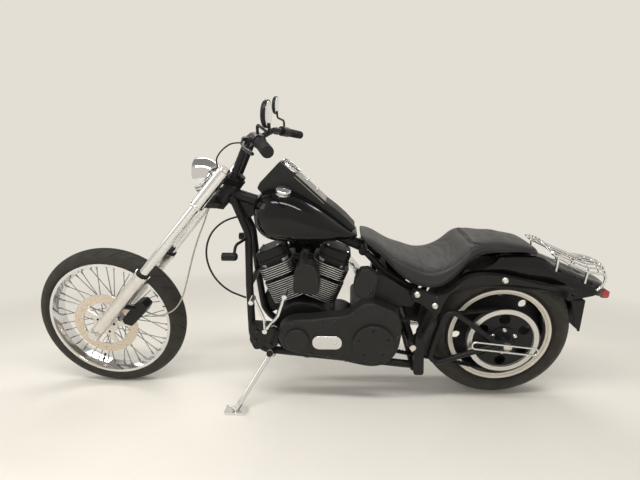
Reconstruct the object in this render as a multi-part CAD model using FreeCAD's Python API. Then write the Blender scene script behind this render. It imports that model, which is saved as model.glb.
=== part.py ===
import FreeCAD, Part
import math
import os

# Chopper motorcycle, in millimetres.
# It is drawn upright: x runs back from the rear axle, so ahead is negative, y is negative on the left,
# z is up from the line of the rear tyre. The last section leans it on its side stand and moves its origin.

Vec = FreeCAD.Vector
right_angle = 90.0
full_turn = 360.0

# Stance
wheelbase = 1760.0
lean_angle = 15.0
rake_angle = 41.5

# Clearances
seat_gap = 0.3
shaft_gap = 0.05
overrun = 40.0

# Wheels and tyres
front_tyre_radius = 343.0
front_tyre_half_width = 45.0
front_crown_radius = 46.0
front_bead_radius = 279.0
front_rim_half_width = 34.0
rear_tyre_radius = 326.0
rear_tyre_half_width = 96.0
rear_crown_radius = 106.0
rear_bead_radius = 223.0
rear_rim_half_width = 84.0
tyre_sidewall = 7.0
rim_wall = 4.0
rim_lip = 5.0
rim_well_depth = 15.0
front_hub_radius = 34.0
front_hub_half_width = 52.0
front_flange_radius = 48.0
front_flange_offset = 36.0
front_flange_width = 6.0
spoke_count = 40
spoke_radius = 1.9
spoke_lace_angle = 36.0
nipple_radius = 3.6
nipple_length = 14.0
front_axle_radius = 10.0
rear_axle_radius = 11.0
axle_nut_radius = 17.0
axle_nut_length = 14.0
front_disc_radius = 146.0
front_disc_inner_radius = 104.0
front_disc_thickness = 5.0
front_disc_offset = 62.0
disc_carrier_thickness = 6.0
disc_arm_count = 5
disc_arm_half_width = 11.0
rear_web_thickness = 12.0
rear_web_hole_count = 9
rear_web_hole_radius = 20.0
rear_web_hole_circle = 165.0
rear_hub_radius = 46.0
rear_hub_half_width = 99.0
rear_disc_radius = 146.0
rear_disc_thickness = 6.0
rear_disc_offset = 113.0

# Belt drive
belt_width = 22.0
belt_thickness = 4.0
belt_inner_face = 104.0
belt_tooth_height = 3.0
belt_tooth_pitch = 14.0
pulley_radius = 148.0
pulley_ring_width = 20.0
pulley_spoke_count = 6
pulley_window_radius = 23.0
pulley_window_circle = 97.0
pulley_web_thickness = 8.0
pulley_hub_radius = 62.0
sprocket_radius = 60.0
sprocket_ahead = 520.0
sprocket_height = 338.0

# Front end
tree_offset = 50.0
leg_spacing = 244.0
fork_tube_radius = 20.5
fork_tube_bottom = 250.0
fork_sleeve_radius = 26.0
fork_sleeve_start = 772.0
fork_sleeve_end = 952.0
fork_cap_radius = 20.0
fork_cap_height = 12.0
slider_radius = 27.0
slider_top = 372.0
slider_collar_radius = 31.0
slider_collar_height = 22.0
slider_foot = 26.0
slider_boss_radius = 24.0
slider_boss_half_width = 29.0
tree_thickness = 28.0
tree_corner = 8.0
neck_web_drop = 15.0
tree_front_edge = 10.0
lower_tree_along = 787.0
upper_tree_along = 915.0
stem_radius = 14.0
stem_nut_radius = 19.0
stem_nut_height = 14.0
neck_radius = 30.0
neck_end_gap = 1.0
riser_radius = 15.0
riser_spacing = 90.0
riser_setback = 14.0
bar_radius = 12.7
bar_rise = 162.4
bar_ahead = 10.6
bar_straight = 110.0
bar_hand_back = 66.0
bar_hand_y = 195.0
bar_hand_rise = 38.0
bar_end_back = 155.0
bar_end_y = 402.0
bar_end_rise = 1.0
bar_bend = 70.0
bar_clamp_radius = 19.0
bar_clamp_width = 34.0
grip_radius = 18.5
grip_length = 118.0
grip_flange_radius = 22.0
grip_flange_length = 6.0
switch_length = 52.0
switch_radius = 23.0
lever_length = 165.0
lever_radius = 5.5
lever_ahead = 62.0
perch_radius = 11.0
mirror_stem_radius = 5.0
mirror_rise = 92.0
mirror_half_width = 52.0
mirror_half_height = 43.0
mirror_depth = 16.0
mirror_centre_y = 335.0
mirror_left_back = 151.0
mirror_left_rise = 108.0
mirror_right_back = 56.0
mirror_right_rise = 148.0

# Headlight
headlight_radius = 77.0
headlight_drop = 91.0
headlight_ahead = 85.0
headlight_depth = 106.0
headlight_dip = 4.0
headlight_wall = 3.0
headlight_ring_width = 16.0
lens_thickness = 6.0
lens_crown = 10.0
headlight_stalk_radius = 9.0

# Front brake
caliper_along = 152.0
caliper_behind = 76.0
caliper_length = 146.0
caliper_height = 58.0
caliper_half_width = 26.0
caliper_slot = 10.6
hose_radius = 3.2

# Frame
tube_radius = 16.0
backbone_radius = 24.0
cross_share = 0.8
rail_radius = 14.0
fender_rail_radius = 10.5
neck_gusset_half_width = 13.0
downtube_top_y = 38.0
downtube_mid_y = 78.0
cradle_y = 118.0
downtube_x = -1077.0
downtube_top_z = 880.0
downtube_knee_z = 770.0
downtube_foot_z = 330.0
cradle_front_x = -1025.0
cradle_front_z = 264.0
cradle_rear_x = -372.0
cradle_rear_z = 196.0
frame_bend = 90.0
cross_tube_radius = 13.0
backbone_top_x = -1120.0
backbone_top_z = 905.0
backbone_mid_x = -990.0
backbone_mid_z = 890.0
backbone_rear_x = -590.0
backbone_rear_z = 702.0
seat_rail_y = 74.0
seat_rail_mid_x = -500.0
seat_rail_mid_z = 618.0
seat_rail_rear_x = -330.0
seat_rail_rear_z = 512.0
upright_inner_y = 142.0
upright_outer_y = 162.0
upright_top_x = -292.0
upright_top_z = 512.0
upright_foot_x = -352.0
upright_foot_z = 178.0
upright_width = 42.0
upright_bow = 22.0
upright_corner = 12.0
fender_rail_rear_x = 150.0
fender_rail_z = 588.0

# Swingarm
pivot_x = -385.0
pivot_z = 317.0
pivot_tube_radius = 19.0
pivot_bolt_radius = 9.0
pivot_head_radius = 13.0
pivot_head_length = 8.0
arm_y = 148.0
arm_radius = 11.5
arm_upper_x = -254.0
arm_upper_z = 500.0
arm_lower_x = -318.0
arm_lower_z = 214.0
arm_elbow_radius = 40.0
arm_plate_inner_y = 129.5
arm_plate_outer_y = 140.5
axle_plate_length = 100.0
axle_plate_height = 52.0
axle_plate_half_thickness = 9.0

# Engine
crank_x = -845.0
crank_z = 345.0
vee_half_angle = 22.5
barrel_start = 138.0
barrel_end = 264.0
barrel_radius = 62.0
fin_pitch = 9.4
fin_thickness = 3.0
fin_length = 168.0
fin_width = 152.0
fin_corner = 38.0
head_end = 338.0
head_core_length = 122.0
head_core_width = 118.0
head_fin_length = 160.0
head_fin_width = 156.0
rocker_end = 388.0
rocker_length = 128.0
rocker_width = 118.0
rocker_corner = 22.0
vee_gap = 1.5
case_radius = 138.0
case_half_width = 101.6
case_nose_x = -700.0
case_nose_z = 300.0
case_nose_radius = 86.0
case_corner = 10.0
cam_cover_radius = 90.0
cam_cover_rise = 16.0
primary_boss_radius = 60.0
cam_cover_depth = 46.0
cam_cover_corner = 14.0
pushrod_radius = 9.5
pushrod_inner_y = 132.0
pushrod_spread = 42.0
intake_radius = 22.0
intake_height = 302.0
intake_branch_half = 60.0
exhaust_port_y = 52.0
air_cleaner_radius = 88.0
air_cleaner_inner_y = 112.0
air_cleaner_depth = 58.0
air_cleaner_corner = 16.0
gearbox_front_x = -640.0
gearbox_rear_x = -428.0
gearbox_bottom_z = 262.0
gearbox_top_z = 462.0
gearbox_left_y = -92.0
gearbox_right_y = 118.0
gearbox_corner = 26.0

# Primary case
primary_front_x = -940.0
primary_rear_x = -440.0
primary_bottom_z = 236.0
primary_top_z = 530.0
primary_inner_y = -133.0
primary_outer_y = -190.0
primary_bevel = 12.0
compensator_radius = 50.0
compensator_depth = 12.0
compensator_x = -863.0
compensator_z = 364.0
derby_x = -550.0
derby_z = 350.0
derby_radius = 86.0
derby_depth = 12.0
derby_rim = 8.0
window_x = -740.0
window_z = 355.0
window_length = 122.0
window_height = 62.0
window_depth = 9.0

# Exhaust
pipe_radius = 22.0
pipe_wall = 2.0
muffler_radius = 37.0
muffler_y = 212.0
upper_muffler_start_x = -470.0
upper_muffler_end_x = 60.0
upper_muffler_z = 300.0
lower_muffler_start_x = -560.0
lower_muffler_end_x = -40.0
lower_muffler_z = 216.0
pipe_bend = 75.0
slash_run = 60.0

# Tank, console and seat
tank_front_x = -1040.0
tank_rear_x = -616.0
tank_bottom_z = 745.0
tank_height = 226.0
tank_half_width = 163.0
console_half_width = 50.0
console_front_x = -1026.0
console_rear_x = -614.0
console_bottom_z = 790.0
console_top_z = 1080.0
console_corner = 9.0
dial_radius = 47.0
dial_height = 9.0
tank_wall = 4.0
tank_tunnel_rise = 40.0
cap_radius = 29.0
cap_height = 13.0
cap_x = -912.0
cap_y = 92.0
cap_neck = 24.0
seat_nose_x = -604.0
seat_tail_x = 150.0
seat_low_z = 572.0
seat_rise = 196.0
seat_half_width = 166.0

# Rear fender and what it carries
fender_half_width = 115.0
fender_wall = 3.0
fender_front_x = -225.0
fender_tail_x = 432.0
fender_tail_radius = 117.0
fender_top_z = 690.0
fender_crown = 62.0
fender_depth = 150.0
fender_camber = 8.0
fender_skirt_share = 1.2
strut_inner_y = 136.6
strut_outer_y = 164.0
strut_front_x = -402.0
strut_rear_x = 240.0
strut_bottom_z = 478.0
strut_top_z = 650.0
strut_hole_radius = 4.5
strut_hole_x = -180.0
strut_hole_z = 588.0
rack_wire_radius = 4.5
rack_half_width = 108.0
rack_wire_count = 9
rack_front_x = 170.0
rack_front_z = 746.0
rack_front_bow = 48.0
rack_rise = 34.0
rack_tail_x = 428.0
rack_tail_z = 615.0
rack_tail_bow = 80.0
rack_curl = 50.0
rack_foot_z = 552.0
rack_foot_drop = 88.0
rack_bend = 20.0
rack_bar_shares = [0.04, 0.34, 0.66, 0.97]
lamp_length = 150.0
lamp_height = 26.0
lamp_depth = 34.0
lamp_x = 400.0
lamp_z = 530.0
bracket_x = 300.0
bracket_depth = 60.0
bracket_top_z = 478.0
bracket_drop = 150.0
bracket_half_width = 52.0
bracket_sheet = 3.0
plate_hole_radius = 3.5
plate_hole_spacing = 70.0
plate_hole_drop = 28.0

# Covers between the frame tubes
horn_x = -823.0
horn_z = 617.0
horn_width = 104.0
horn_height = 132.0
horn_inner_y = -96.0
horn_outer_y = -158.0
coil_x = -584.0
coil_z = 606.0
coil_width = 100.0
coil_height = 128.0
coil_outer_y = -172.0
oil_tank_front_x = -546.0
oil_tank_rear_x = -372.0
oil_tank_bottom_z = 486.0
oil_tank_top_z = 634.0
oil_tank_half_width = 132.0

# Controls at the feet
control_front_x = -1070.0
control_rear_x = -950.0
control_bottom_z = 292.0
control_top_z = 410.0
control_inner_y = 124.0
control_thickness = 38.0
control_corner = 16.0
peg_radius = 13.0
peg_length = 108.0
peg_collar_radius = 16.0
peg_collar_length = 10.0
peg_x = -962.0
peg_z = 392.0
lever_arm_radius = 6.5
shift_pivot_x = -998.0
shift_pivot_z = 440.0
toe_x = -1036.0
toe_z = 548.0
heel_x = -903.0
heel_z = 574.0
shift_knuckle_x = -940.0
shift_knuckle_z = 462.0
shift_peg_length = 46.0
shift_y = 176.0
passenger_x = -324.0
passenger_z = 432.0
passenger_peg_length = 100.0
passenger_peg_radius = 13.0
passenger_mount_y = 163.0
signal_radius = 17.0
signal_length = 62.0
signal_x = -1136.0
signal_y = 124.0
signal_z = 701.0
signal_stalk_radius = 6.0
rear_signal_x = 196.0
rear_signal_z = 566.0
rear_signal_radius = 12.0
rear_signal_length = 26.0
loop_front_x = -148.0
loop_rear_x = 128.0
loop_centre_z = 327.0
loop_half_height = 17.0
loop_fall = 14.0
loop_wire_radius = 4.0
loop_y = 178.4
loop_post_front_share = 0.41
loop_post_rear_share = 0.62

# Side stand
stand_pivot_x = -985.0
stand_pivot_z = 268.0
stand_pivot_y = -156.0
stand_leg_radius = 11.0
stand_foot_x = -1118.0
stand_foot_y = -268.0
stand_foot_length = 92.0
stand_foot_width = 46.0
stand_foot_thickness = 11.0
stand_eye_radius = 15.0
stand_eye_thickness = 24.0
stand_bracket_thickness = 10.0
stand_tang_length = 60.0
stand_tang_radius = 6.0
stand_fold_out = 0.34
stand_fold_down = 0.20

# Control cables
clutch_cable_radius = 4.0
control_cable_radius = 3.0
control_cable_y = 50.0
control_cable_bar_y = 74.0
control_cable_run = 34.0
clutch_start_share = 0.5
clutch_end_z = 490.0


# Shared helpers

def at(x, y, z):
    return Vec(x, y, z)


def unit(vector):
    return Vec(vector).normalize()


def rod(start, end, radius):
    run = end.sub(start)
    return Part.makeCylinder(radius, run.Length, start, run)


def ring(start, end, outer, inner):
    run = unit(end.sub(start)) * overrun
    return rod(start, end, outer).cut(rod(start.sub(run), end.add(run), inner))


def across(x, z, y_from, y_to, radius):
    return rod(at(x, y_from, z), at(x, y_to, z), radius)


def mirrored(shape):
    return shape.mirror(Vec(0, 0, 0), Vec(0, 1, 0))


def fused(shapes):
    """Joins a few pieces one after the other."""
    body = shapes[0]
    for shape in shapes[1:]:
        body = body.fuse(shape)
    return body


def gathered(core, shapes):
    """Joins many like pieces to the one that carries them."""
    return core.multiFuse(shapes).removeSplitter()


def cut_away(shape, tools):
    for tool in tools:
        shape = shape.cut(tool)
    return shape


def solids_of(shape):
    return Part.makeCompound(shape.Solids)


def corner_cut(before, corner, after, radius):
    """The arc that rounds one corner, as its start, middle and end."""
    back = unit(before.sub(corner))
    ahead = unit(after.sub(corner))
    half = back.getAngle(ahead) / 2
    room = min(before.sub(corner).Length, after.sub(corner).Length) * 0.45
    reach = min(radius / math.tan(half), room)
    bend = reach * math.tan(half)
    centre_line = unit(back.add(ahead))
    middle = corner.add(centre_line * (bend / math.sin(half) - bend))
    return corner.add(back * reach), middle, corner.add(ahead * reach)


def run_path(points, radius):
    """Straight runs joined by tangent arcs."""
    edges = []
    here = points[0]
    for index in range(1, len(points) - 1):
        start, middle, end = corner_cut(points[index - 1], points[index], points[index + 1], radius)
        edges.append(Part.LineSegment(here, start).toShape())
        edges.append(Part.Arc(start, middle, end).toShape())
        here = end
    edges.append(Part.LineSegment(here, points[-1]).toShape())
    return Part.Wire(edges)


def tube(points, radius, bend):
    section = Part.Wire([Part.Circle(points[0], points[1].sub(points[0]), radius).toShape()])
    return run_path(points, bend).makePipeShell([section], True, False)


def closed_tube(points, radius, bend):
    """A wire bent into a closed loop, starting half way along its first run."""
    middle = points[0].add(points[1]) * 0.5
    count = len(points)
    edges = []
    here = middle
    for index in range(1, count + 1):
        start, mid, end = corner_cut(points[index - 1], points[index % count], points[(index + 1) % count],
                                     radius)
        edges.append(Part.LineSegment(here, start).toShape())
        edges.append(Part.Arc(start, mid, end).toShape())
        here = end
    edges.append(Part.LineSegment(here, middle).toShape())
    section = Part.Wire([Part.Circle(middle, points[1].sub(points[0]), radius).toShape()])
    return Part.Wire(edges).makePipeShell([section], True, False)


def rounded_face(points, radius):
    """A flat face whose corners are rounded."""
    corners = []
    count = len(points)
    for index in range(count):
        corners.append(corner_cut(points[index - 1], points[index], points[(index + 1) % count], radius))
    edges = []
    for index in range(count):
        start, middle, end = corners[index]
        following = corners[(index + 1) % count][0]
        edges.append(Part.Arc(start, middle, end).toShape())
        edges.append(Part.LineSegment(end, following).toShape())
    return Part.Face(Part.Wire(edges))


def side_points(shares, x_from, x_to, z_from, z_to, y=0.0):
    """Outline points in the side view, from shares of a box."""
    return [at(x_from + (x_to - x_from) * u, y, z_from + (z_to - z_from) * w) for u, w in shares]


def side_plate(points, radius, y_from, y_to):
    face = rounded_face([at(p.x, y_from, p.z) for p in points], radius)
    return face.extrude(Vec(0, y_to - y_from, 0))


def curved_side(points, y_from, y_to):
    """A plate whose outline is one smooth closed curve."""
    curve = Part.BSplineCurve()
    curve.interpolate([at(p.x, y_from, p.z) for p in points], True)
    return Part.Face(Part.Wire([curve.toShape()])).extrude(Vec(0, y_to - y_from, 0))


def blocked(x_from, x_to, y_from, y_to, z_from, z_to):
    return Part.makeBox(x_to - x_from, y_to - y_from, z_to - z_from, at(x_from, y_from, z_from))


def softened(shape, radius, keep):
    """Fillets the edges that keep() picks."""
    edges = [edge for edge in shape.Edges if keep(edge)]
    return shape.makeFillet(radius, edges) if edges else shape


def placed(shape, origin, x_axis, z_axis):
    """Moves a shape drawn at the origin into the frame given by two of its axes."""
    z_dir = unit(z_axis)
    y_dir = unit(z_dir.cross(x_axis))
    x_dir = y_dir.cross(z_dir)
    matrix = FreeCAD.Matrix(x_dir.x, y_dir.x, z_dir.x, origin.x,
                            x_dir.y, y_dir.y, z_dir.y, origin.y,
                            x_dir.z, y_dir.z, z_dir.z, origin.z,
                            0, 0, 0, 1)
    moved = shape.copy()
    moved.Placement = FreeCAD.Placement(matrix)
    return moved


def outside_out(solid):
    """Turns a solid that came out inside out."""
    if solid.Volume < 0:
        solid.reverse()
    return solid


def turned(profile_points, centre):
    """A closed outline given as (radius, y) pairs, spun about a wheel's axle."""
    points = [at(centre.x + r, y, centre.z) for r, y in profile_points]
    face = Part.Face(Part.makePolygon(points + [points[0]]))
    return face.revolve(centre, Vec(0, 1, 0), full_turn)


# Places that follow from the sizes above

fender_rail_y = fender_half_width + fender_rail_radius + seat_gap
tank_tunnel_half_width = backbone_radius + seat_gap
coil_inner_y = -oil_tank_half_width - seat_gap
pushrod_top_y = head_fin_width / 2 + pushrod_radius + seat_gap


# Stance: where the two axles lie, so that both tyres touch the floor when the bike leans

lean = math.radians(lean_angle)
rake = math.radians(rake_angle)


def leaning_height(radius, crown):
    return (radius - crown) * math.cos(lean) + crown


rear_axle_height = leaning_height(rear_tyre_radius, rear_crown_radius)
front_axle_height = leaning_height(front_tyre_radius, front_crown_radius)
rear_axle = at(0, 0, rear_tyre_radius)
front_axle = at(-wheelbase, 0, rear_tyre_radius + (front_axle_height - rear_axle_height) / math.cos(lean))
floor_drop = (rear_axle_height - rear_axle.z * math.cos(lean)) / math.cos(lean)


def floor_height(y):
    """Height of the floor under a point of the upright bike."""
    return -floor_drop - y * math.tan(lean)


# The steering axis lies behind the fork legs and along them

leg_up = Vec(math.sin(rake), 0, math.cos(rake))
leg_back = Vec(math.cos(rake), 0, -math.sin(rake))
leg_y = leg_spacing / 2


def on_leg(along, behind=0.0, y=0.0):
    point = front_axle.add(leg_up * along).add(leg_back * behind)
    return at(point.x, y, point.z)


def on_stem(along):
    return on_leg(along, tree_offset)


bar_centre_x = on_leg(upper_tree_along + bar_rise, -bar_ahead).x
bar_centre_z = on_leg(upper_tree_along + bar_rise, -bar_ahead).z
bar_hand_x = bar_centre_x + bar_hand_back
bar_hand_z = bar_centre_z + bar_hand_rise
bar_end_x = bar_centre_x + bar_end_back
bar_end_z = bar_centre_z + bar_end_rise
headlight_centre_x = on_leg(upper_tree_along - headlight_drop, -headlight_ahead).x
headlight_centre_z = on_leg(upper_tree_along - headlight_drop, -headlight_ahead).z
neck_bottom = lower_tree_along + tree_thickness / 2 + neck_end_gap
neck_top = upper_tree_along - tree_thickness / 2 - neck_end_gap


# Wheels

def tyre(centre, radius, half_width, crown, bead_radius, rim_half_width):
    """A tyre section: round crown, bulged walls and beads that sit on the rim."""
    crown_centre = radius - crown
    spread = math.asin(half_width / crown) if half_width < crown else math.pi / 2
    crown_edge = at(centre.x + crown_centre + crown * math.cos(spread), crown * math.sin(spread), centre.z)
    crown_other = at(crown_edge.x, -crown_edge.y, centre.z)
    top = at(centre.x + radius, 0, centre.z)
    bead = at(centre.x + bead_radius + rim_lip, rim_half_width, centre.z)
    bead_other = at(bead.x, -bead.y, centre.z)
    bulge = (crown_edge.x - bead.x) * 0.45
    wall_mid = at(bead.x + bulge, half_width + (half_width - rim_half_width) * 0.12, centre.z)
    wall_other = at(wall_mid.x, -wall_mid.y, centre.z)
    inner = at(bead.x, rim_half_width - tyre_sidewall, centre.z)
    inner_other = at(inner.x, -inner.y, centre.z)
    inner_top = at(centre.x + radius - tyre_sidewall * 2, 0, centre.z)
    inner_wall = at(wall_mid.x, wall_mid.y - tyre_sidewall, centre.z)
    inner_wall_other = at(inner_wall.x, -inner_wall.y, centre.z)
    edges = [
        Part.Arc(crown_edge, top, crown_other).toShape(),
        Part.Arc(crown_other, wall_other, bead_other).toShape(),
        Part.LineSegment(bead_other, inner_other).toShape(),
        Part.LineSegment(inner_other, inner_wall_other).toShape(),
        Part.Arc(inner_wall_other, inner_top, inner_wall).toShape(),
        Part.LineSegment(inner_wall, inner).toShape(),
        Part.LineSegment(inner, bead).toShape(),
        Part.LineSegment(bead, wall_mid).toShape(),
    ]
    edges[-1] = Part.Arc(bead, wall_mid, crown_edge).toShape()
    return Part.Face(Part.Wire(edges)).revolve(centre, Vec(0, 1, 0), full_turn)


def rim(centre, bead_radius, half_width, well_depth):
    """A drop-centre rim with a lip on each side."""
    lip = bead_radius + rim_lip - seat_gap
    seat = bead_radius - rim_wall
    well = bead_radius - well_depth
    wide = half_width + rim_wall
    profile = [
        (lip, wide), (seat - rim_wall, wide),
        (well - rim_wall, half_width * 0.45), (well - rim_wall, -half_width * 0.45),
        (seat - rim_wall, -wide), (lip, -wide),
        (lip, -half_width + tyre_sidewall), (seat, -half_width * 0.6), (well, -half_width * 0.4),
        (well, half_width * 0.4), (seat, half_width * 0.6), (lip, half_width - tyre_sidewall),
    ]
    return turned(profile, centre)


def front_tyre():
    return tyre(front_axle, front_tyre_radius, front_tyre_half_width, front_crown_radius,
                front_bead_radius, front_rim_half_width)


def rear_tyre():
    return tyre(rear_axle, rear_tyre_radius, rear_tyre_half_width, rear_crown_radius,
                rear_bead_radius, rear_rim_half_width)


def front_rim():
    return rim(front_axle, front_bead_radius, front_rim_half_width, rim_well_depth)


def front_hub():
    """A spool hub with its laced spokes, each ending in a nipple just inside the rim."""
    centre = front_axle
    barrel = across(centre.x, centre.z, -front_hub_half_width, front_hub_half_width, front_hub_radius)
    parts = [barrel]
    for side in (-1, 1):
        offset = side * front_flange_offset
        parts.append(across(centre.x, centre.z, offset - front_flange_width / 2,
                            offset + front_flange_width / 2, front_flange_radius))
    reach = front_bead_radius - rim_well_depth - rim_wall - seat_gap
    flange = front_flange_radius - front_flange_width
    for index in range(spoke_count):
        side = -1 if index % 2 else 1
        swing = spoke_lace_angle if (index // 2) % 2 else -spoke_lace_angle
        end_angle = math.radians(full_turn * index / spoke_count)
        start_angle = end_angle + math.radians(swing)
        start = centre.add(Vec(math.cos(start_angle) * flange, side * front_flange_offset,
                               math.sin(start_angle) * flange))
        start = start.add(Vec(0, front_flange_width * (0.3 if swing > 0 else -0.3), 0))
        end = centre.add(Vec(math.cos(end_angle) * reach, side * nipple_radius, math.sin(end_angle) * reach))
        parts.append(rod(start, end, spoke_radius))
        nipple_start = end.sub(unit(end.sub(start)) * nipple_length)
        parts.append(rod(nipple_start, end, nipple_radius))
    body = gathered(parts[0], parts[1:])
    trim = ring(centre.sub(Vec(0, overrun * 2, 0)), centre.add(Vec(0, overrun * 2, 0)),
                front_bead_radius, reach)
    bore = across(centre.x, centre.z, -overrun * 2, overrun * 2, front_axle_radius + shaft_gap)
    return body.cut(trim).cut(bore)


def drilled_disc(centre, y_from, y_to, outer, inner, hole_radius, circles):
    """A brake disc: a ring with rows of small holes."""
    disc = ring(at(centre.x, y_from, centre.z), at(centre.x, y_to, centre.z), outer, inner)
    holes = []
    for circle_radius, count, turn in circles:
        for index in range(count):
            angle = math.radians(full_turn * (index + turn) / count)
            holes.append(across(centre.x + circle_radius * math.cos(angle),
                                centre.z + circle_radius * math.sin(angle),
                                y_from - overrun, y_to + overrun, hole_radius))
    return disc.cut(Part.makeCompound(holes))


def front_disc():
    """The drilled ring, its carrier arms and the boss that bolts to the hub."""
    y = -front_disc_offset
    half = front_disc_thickness / 2
    hole = front_disc_thickness * 0.7
    band = front_disc_radius - front_disc_inner_radius
    middle = front_disc_inner_radius + band / 2
    rows = [(middle - band * 0.28, 20, 0), (middle, 20, 0.5), (middle + band * 0.28, 20, 0)]
    disc = drilled_disc(front_axle, y - half, y + half, front_disc_radius, front_disc_inner_radius, hole, rows)
    arms = []
    for index in range(disc_arm_count):
        angle = full_turn * index / disc_arm_count
        arm = blocked(front_hub_radius, front_disc_inner_radius + disc_arm_half_width * 0.5,
                      y - disc_carrier_thickness / 2, y + disc_carrier_thickness / 2,
                      -disc_arm_half_width, disc_arm_half_width)
        arm.rotate(Vec(0, 0, 0), Vec(0, 1, 0), angle)
        arm.translate(front_axle)
        arms.append(arm)
    boss = across(front_axle.x, front_axle.z, y - disc_carrier_thickness, -front_hub_half_width - seat_gap,
                  front_flange_radius + front_flange_width)
    body = fused([disc, boss] + arms)
    bore = across(front_axle.x, front_axle.z, y - overrun, y + overrun, front_axle_radius + overrun * 0.25)
    return body.cut(bore)


def rear_rim():
    """Barrel, pierced web and hub in one casting."""
    centre = rear_axle
    barrel = rim(centre, rear_bead_radius, rear_rim_half_width, rim_well_depth)
    well = rear_bead_radius - rim_well_depth - rim_wall
    web = across(centre.x, centre.z, -rear_web_thickness / 2, rear_web_thickness / 2, well + rim_wall / 2)
    holes = []
    for index in range(rear_web_hole_count):
        angle = math.radians(full_turn * index / rear_web_hole_count)
        holes.append(across(centre.x + rear_web_hole_circle * math.cos(angle),
                            centre.z + rear_web_hole_circle * math.sin(angle),
                            -overrun, overrun, rear_web_hole_radius))
    web = web.cut(Part.makeCompound(holes))
    hub = across(centre.x, centre.z, -rear_hub_half_width, rear_hub_half_width, rear_hub_radius)
    bore = across(centre.x, centre.z, -rear_hub_half_width - overrun, rear_hub_half_width + overrun,
                  rear_axle_radius + shaft_gap)
    return fused([barrel, web, hub]).cut(bore)


def rear_pulley():
    """Toothless belt pulley with round windows, bolted to the left of the hub."""
    centre = rear_axle
    outer_face = -belt_inner_face - belt_width
    inner_face = -belt_inner_face
    rim_ring = ring(at(centre.x, outer_face, centre.z), at(centre.x, inner_face, centre.z),
                    pulley_radius, pulley_radius - pulley_ring_width)
    middle = (outer_face + inner_face) / 2
    web = across(centre.x, centre.z, middle - pulley_web_thickness / 2, middle + pulley_web_thickness / 2,
                 pulley_radius - pulley_ring_width * 0.5)
    windows = []
    for index in range(pulley_spoke_count):
        angle = math.radians(full_turn * (index + 0.5) / pulley_spoke_count)
        windows.append(across(centre.x + pulley_window_circle * math.cos(angle),
                              centre.z + pulley_window_circle * math.sin(angle),
                              middle - overrun, middle + overrun, pulley_window_radius))
    web = web.cut(Part.makeCompound(windows))
    boss = across(centre.x, centre.z, outer_face, -rear_hub_half_width - seat_gap, pulley_hub_radius)
    bore = across(centre.x, centre.z, outer_face - overrun, 0, rear_axle_radius + shaft_gap)
    return fused([rim_ring, web, boss]).cut(bore)


def rear_disc():
    centre = rear_axle
    half = rear_disc_thickness / 2
    rows = [(rear_disc_radius * 0.88, 24, 0), (rear_disc_radius * 0.78, 24, 0.5)]
    disc = drilled_disc(centre, rear_disc_offset - half, rear_disc_offset + half, rear_disc_radius,
                        rear_axle_radius + shaft_gap, rear_disc_thickness * 0.6, rows)
    boss = ring(at(0, rear_hub_half_width + seat_gap, centre.z),
                at(0, rear_disc_offset, centre.z), rear_hub_radius, rear_axle_radius + shaft_gap)
    return fused([disc, boss])


# Belt drive

def belt_centres():
    return at(0, 0, rear_axle.z), at(-sprocket_ahead, 0, sprocket_height)


def belt_outline(rear_radius, front_radius, y):
    """The outline of a band stretched round two circles."""
    rear, front = belt_centres()
    span = rear.sub(front)
    tilt = math.atan2(span.z, span.x)
    open_angle = math.acos((rear_radius - front_radius) / span.Length)

    def rim_point(centre, radius, angle):
        return at(centre.x + radius * math.cos(tilt + angle), y, centre.z + radius * math.sin(tilt + angle))

    rear_top = rim_point(rear, rear_radius, math.pi - open_angle)
    rear_bottom = rim_point(rear, rear_radius, math.pi + open_angle)
    rear_far = rim_point(rear, rear_radius, 0)
    front_top = rim_point(front, front_radius, math.pi - open_angle)
    front_bottom = rim_point(front, front_radius, math.pi + open_angle)
    front_far = rim_point(front, front_radius, math.pi)
    edges = [
        Part.Arc(rear_bottom, rear_far, rear_top).toShape(),
        Part.LineSegment(rear_top, front_top).toShape(),
        Part.Arc(front_top, front_far, front_bottom).toShape(),
        Part.LineSegment(front_bottom, rear_bottom).toShape(),
    ]
    return Part.Face(Part.Wire(edges)), (rear_top, front_top, front_bottom, rear_bottom)


def drive_belt():
    """The belt as one closed band, with teeth on the inside of its two straight runs."""
    y = -belt_inner_face - belt_width
    inner_rear = pulley_radius + seat_gap * 2
    inner_front = sprocket_radius + seat_gap * 2
    inner, corners = belt_outline(inner_rear, inner_front, y)
    outer, unused = belt_outline(inner_rear + belt_thickness, inner_front + belt_thickness, y)
    width = Vec(0, belt_width, 0)
    band = outer.extrude(width).cut(inner.extrude(width))
    rear_top, front_top, front_bottom, rear_bottom = corners
    teeth = []
    for start, end, side in ((rear_top, front_top, -1), (rear_bottom, front_bottom, 1)):
        run = end.sub(start)
        along = unit(run)
        normal = unit(Vec(-along.z, 0, along.x))
        if normal.z * side < 0:
            normal = normal * -1
        count = int(run.Length / belt_tooth_pitch) - 5
        for index in range(count):
            base = start.add(along * (belt_tooth_pitch * (index + 3)))
            corner_a = base.sub(along * (belt_tooth_pitch * 0.28)).sub(normal * belt_thickness * 0.5)
            corner_b = base.add(along * (belt_tooth_pitch * 0.28)).sub(normal * belt_thickness * 0.5)
            corner_c = base.add(along * (belt_tooth_pitch * 0.18)).add(normal * belt_tooth_height)
            corner_d = base.sub(along * (belt_tooth_pitch * 0.18)).add(normal * belt_tooth_height)
            face = Part.Face(Part.makePolygon([corner_a, corner_b, corner_c, corner_d, corner_a]))
            teeth.append(face.extrude(width))
    return gathered(band, teeth)


# Frame

def neck_outer(extra=0.0):
    return rod(on_stem(neck_bottom), on_stem(neck_top), neck_radius + extra)


def backbone_points():
    neck_middle = on_stem((neck_bottom + neck_top) / 2)
    return [neck_middle, at(backbone_mid_x, 0, backbone_mid_z), at(backbone_rear_x, 0, backbone_rear_z)]


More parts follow.
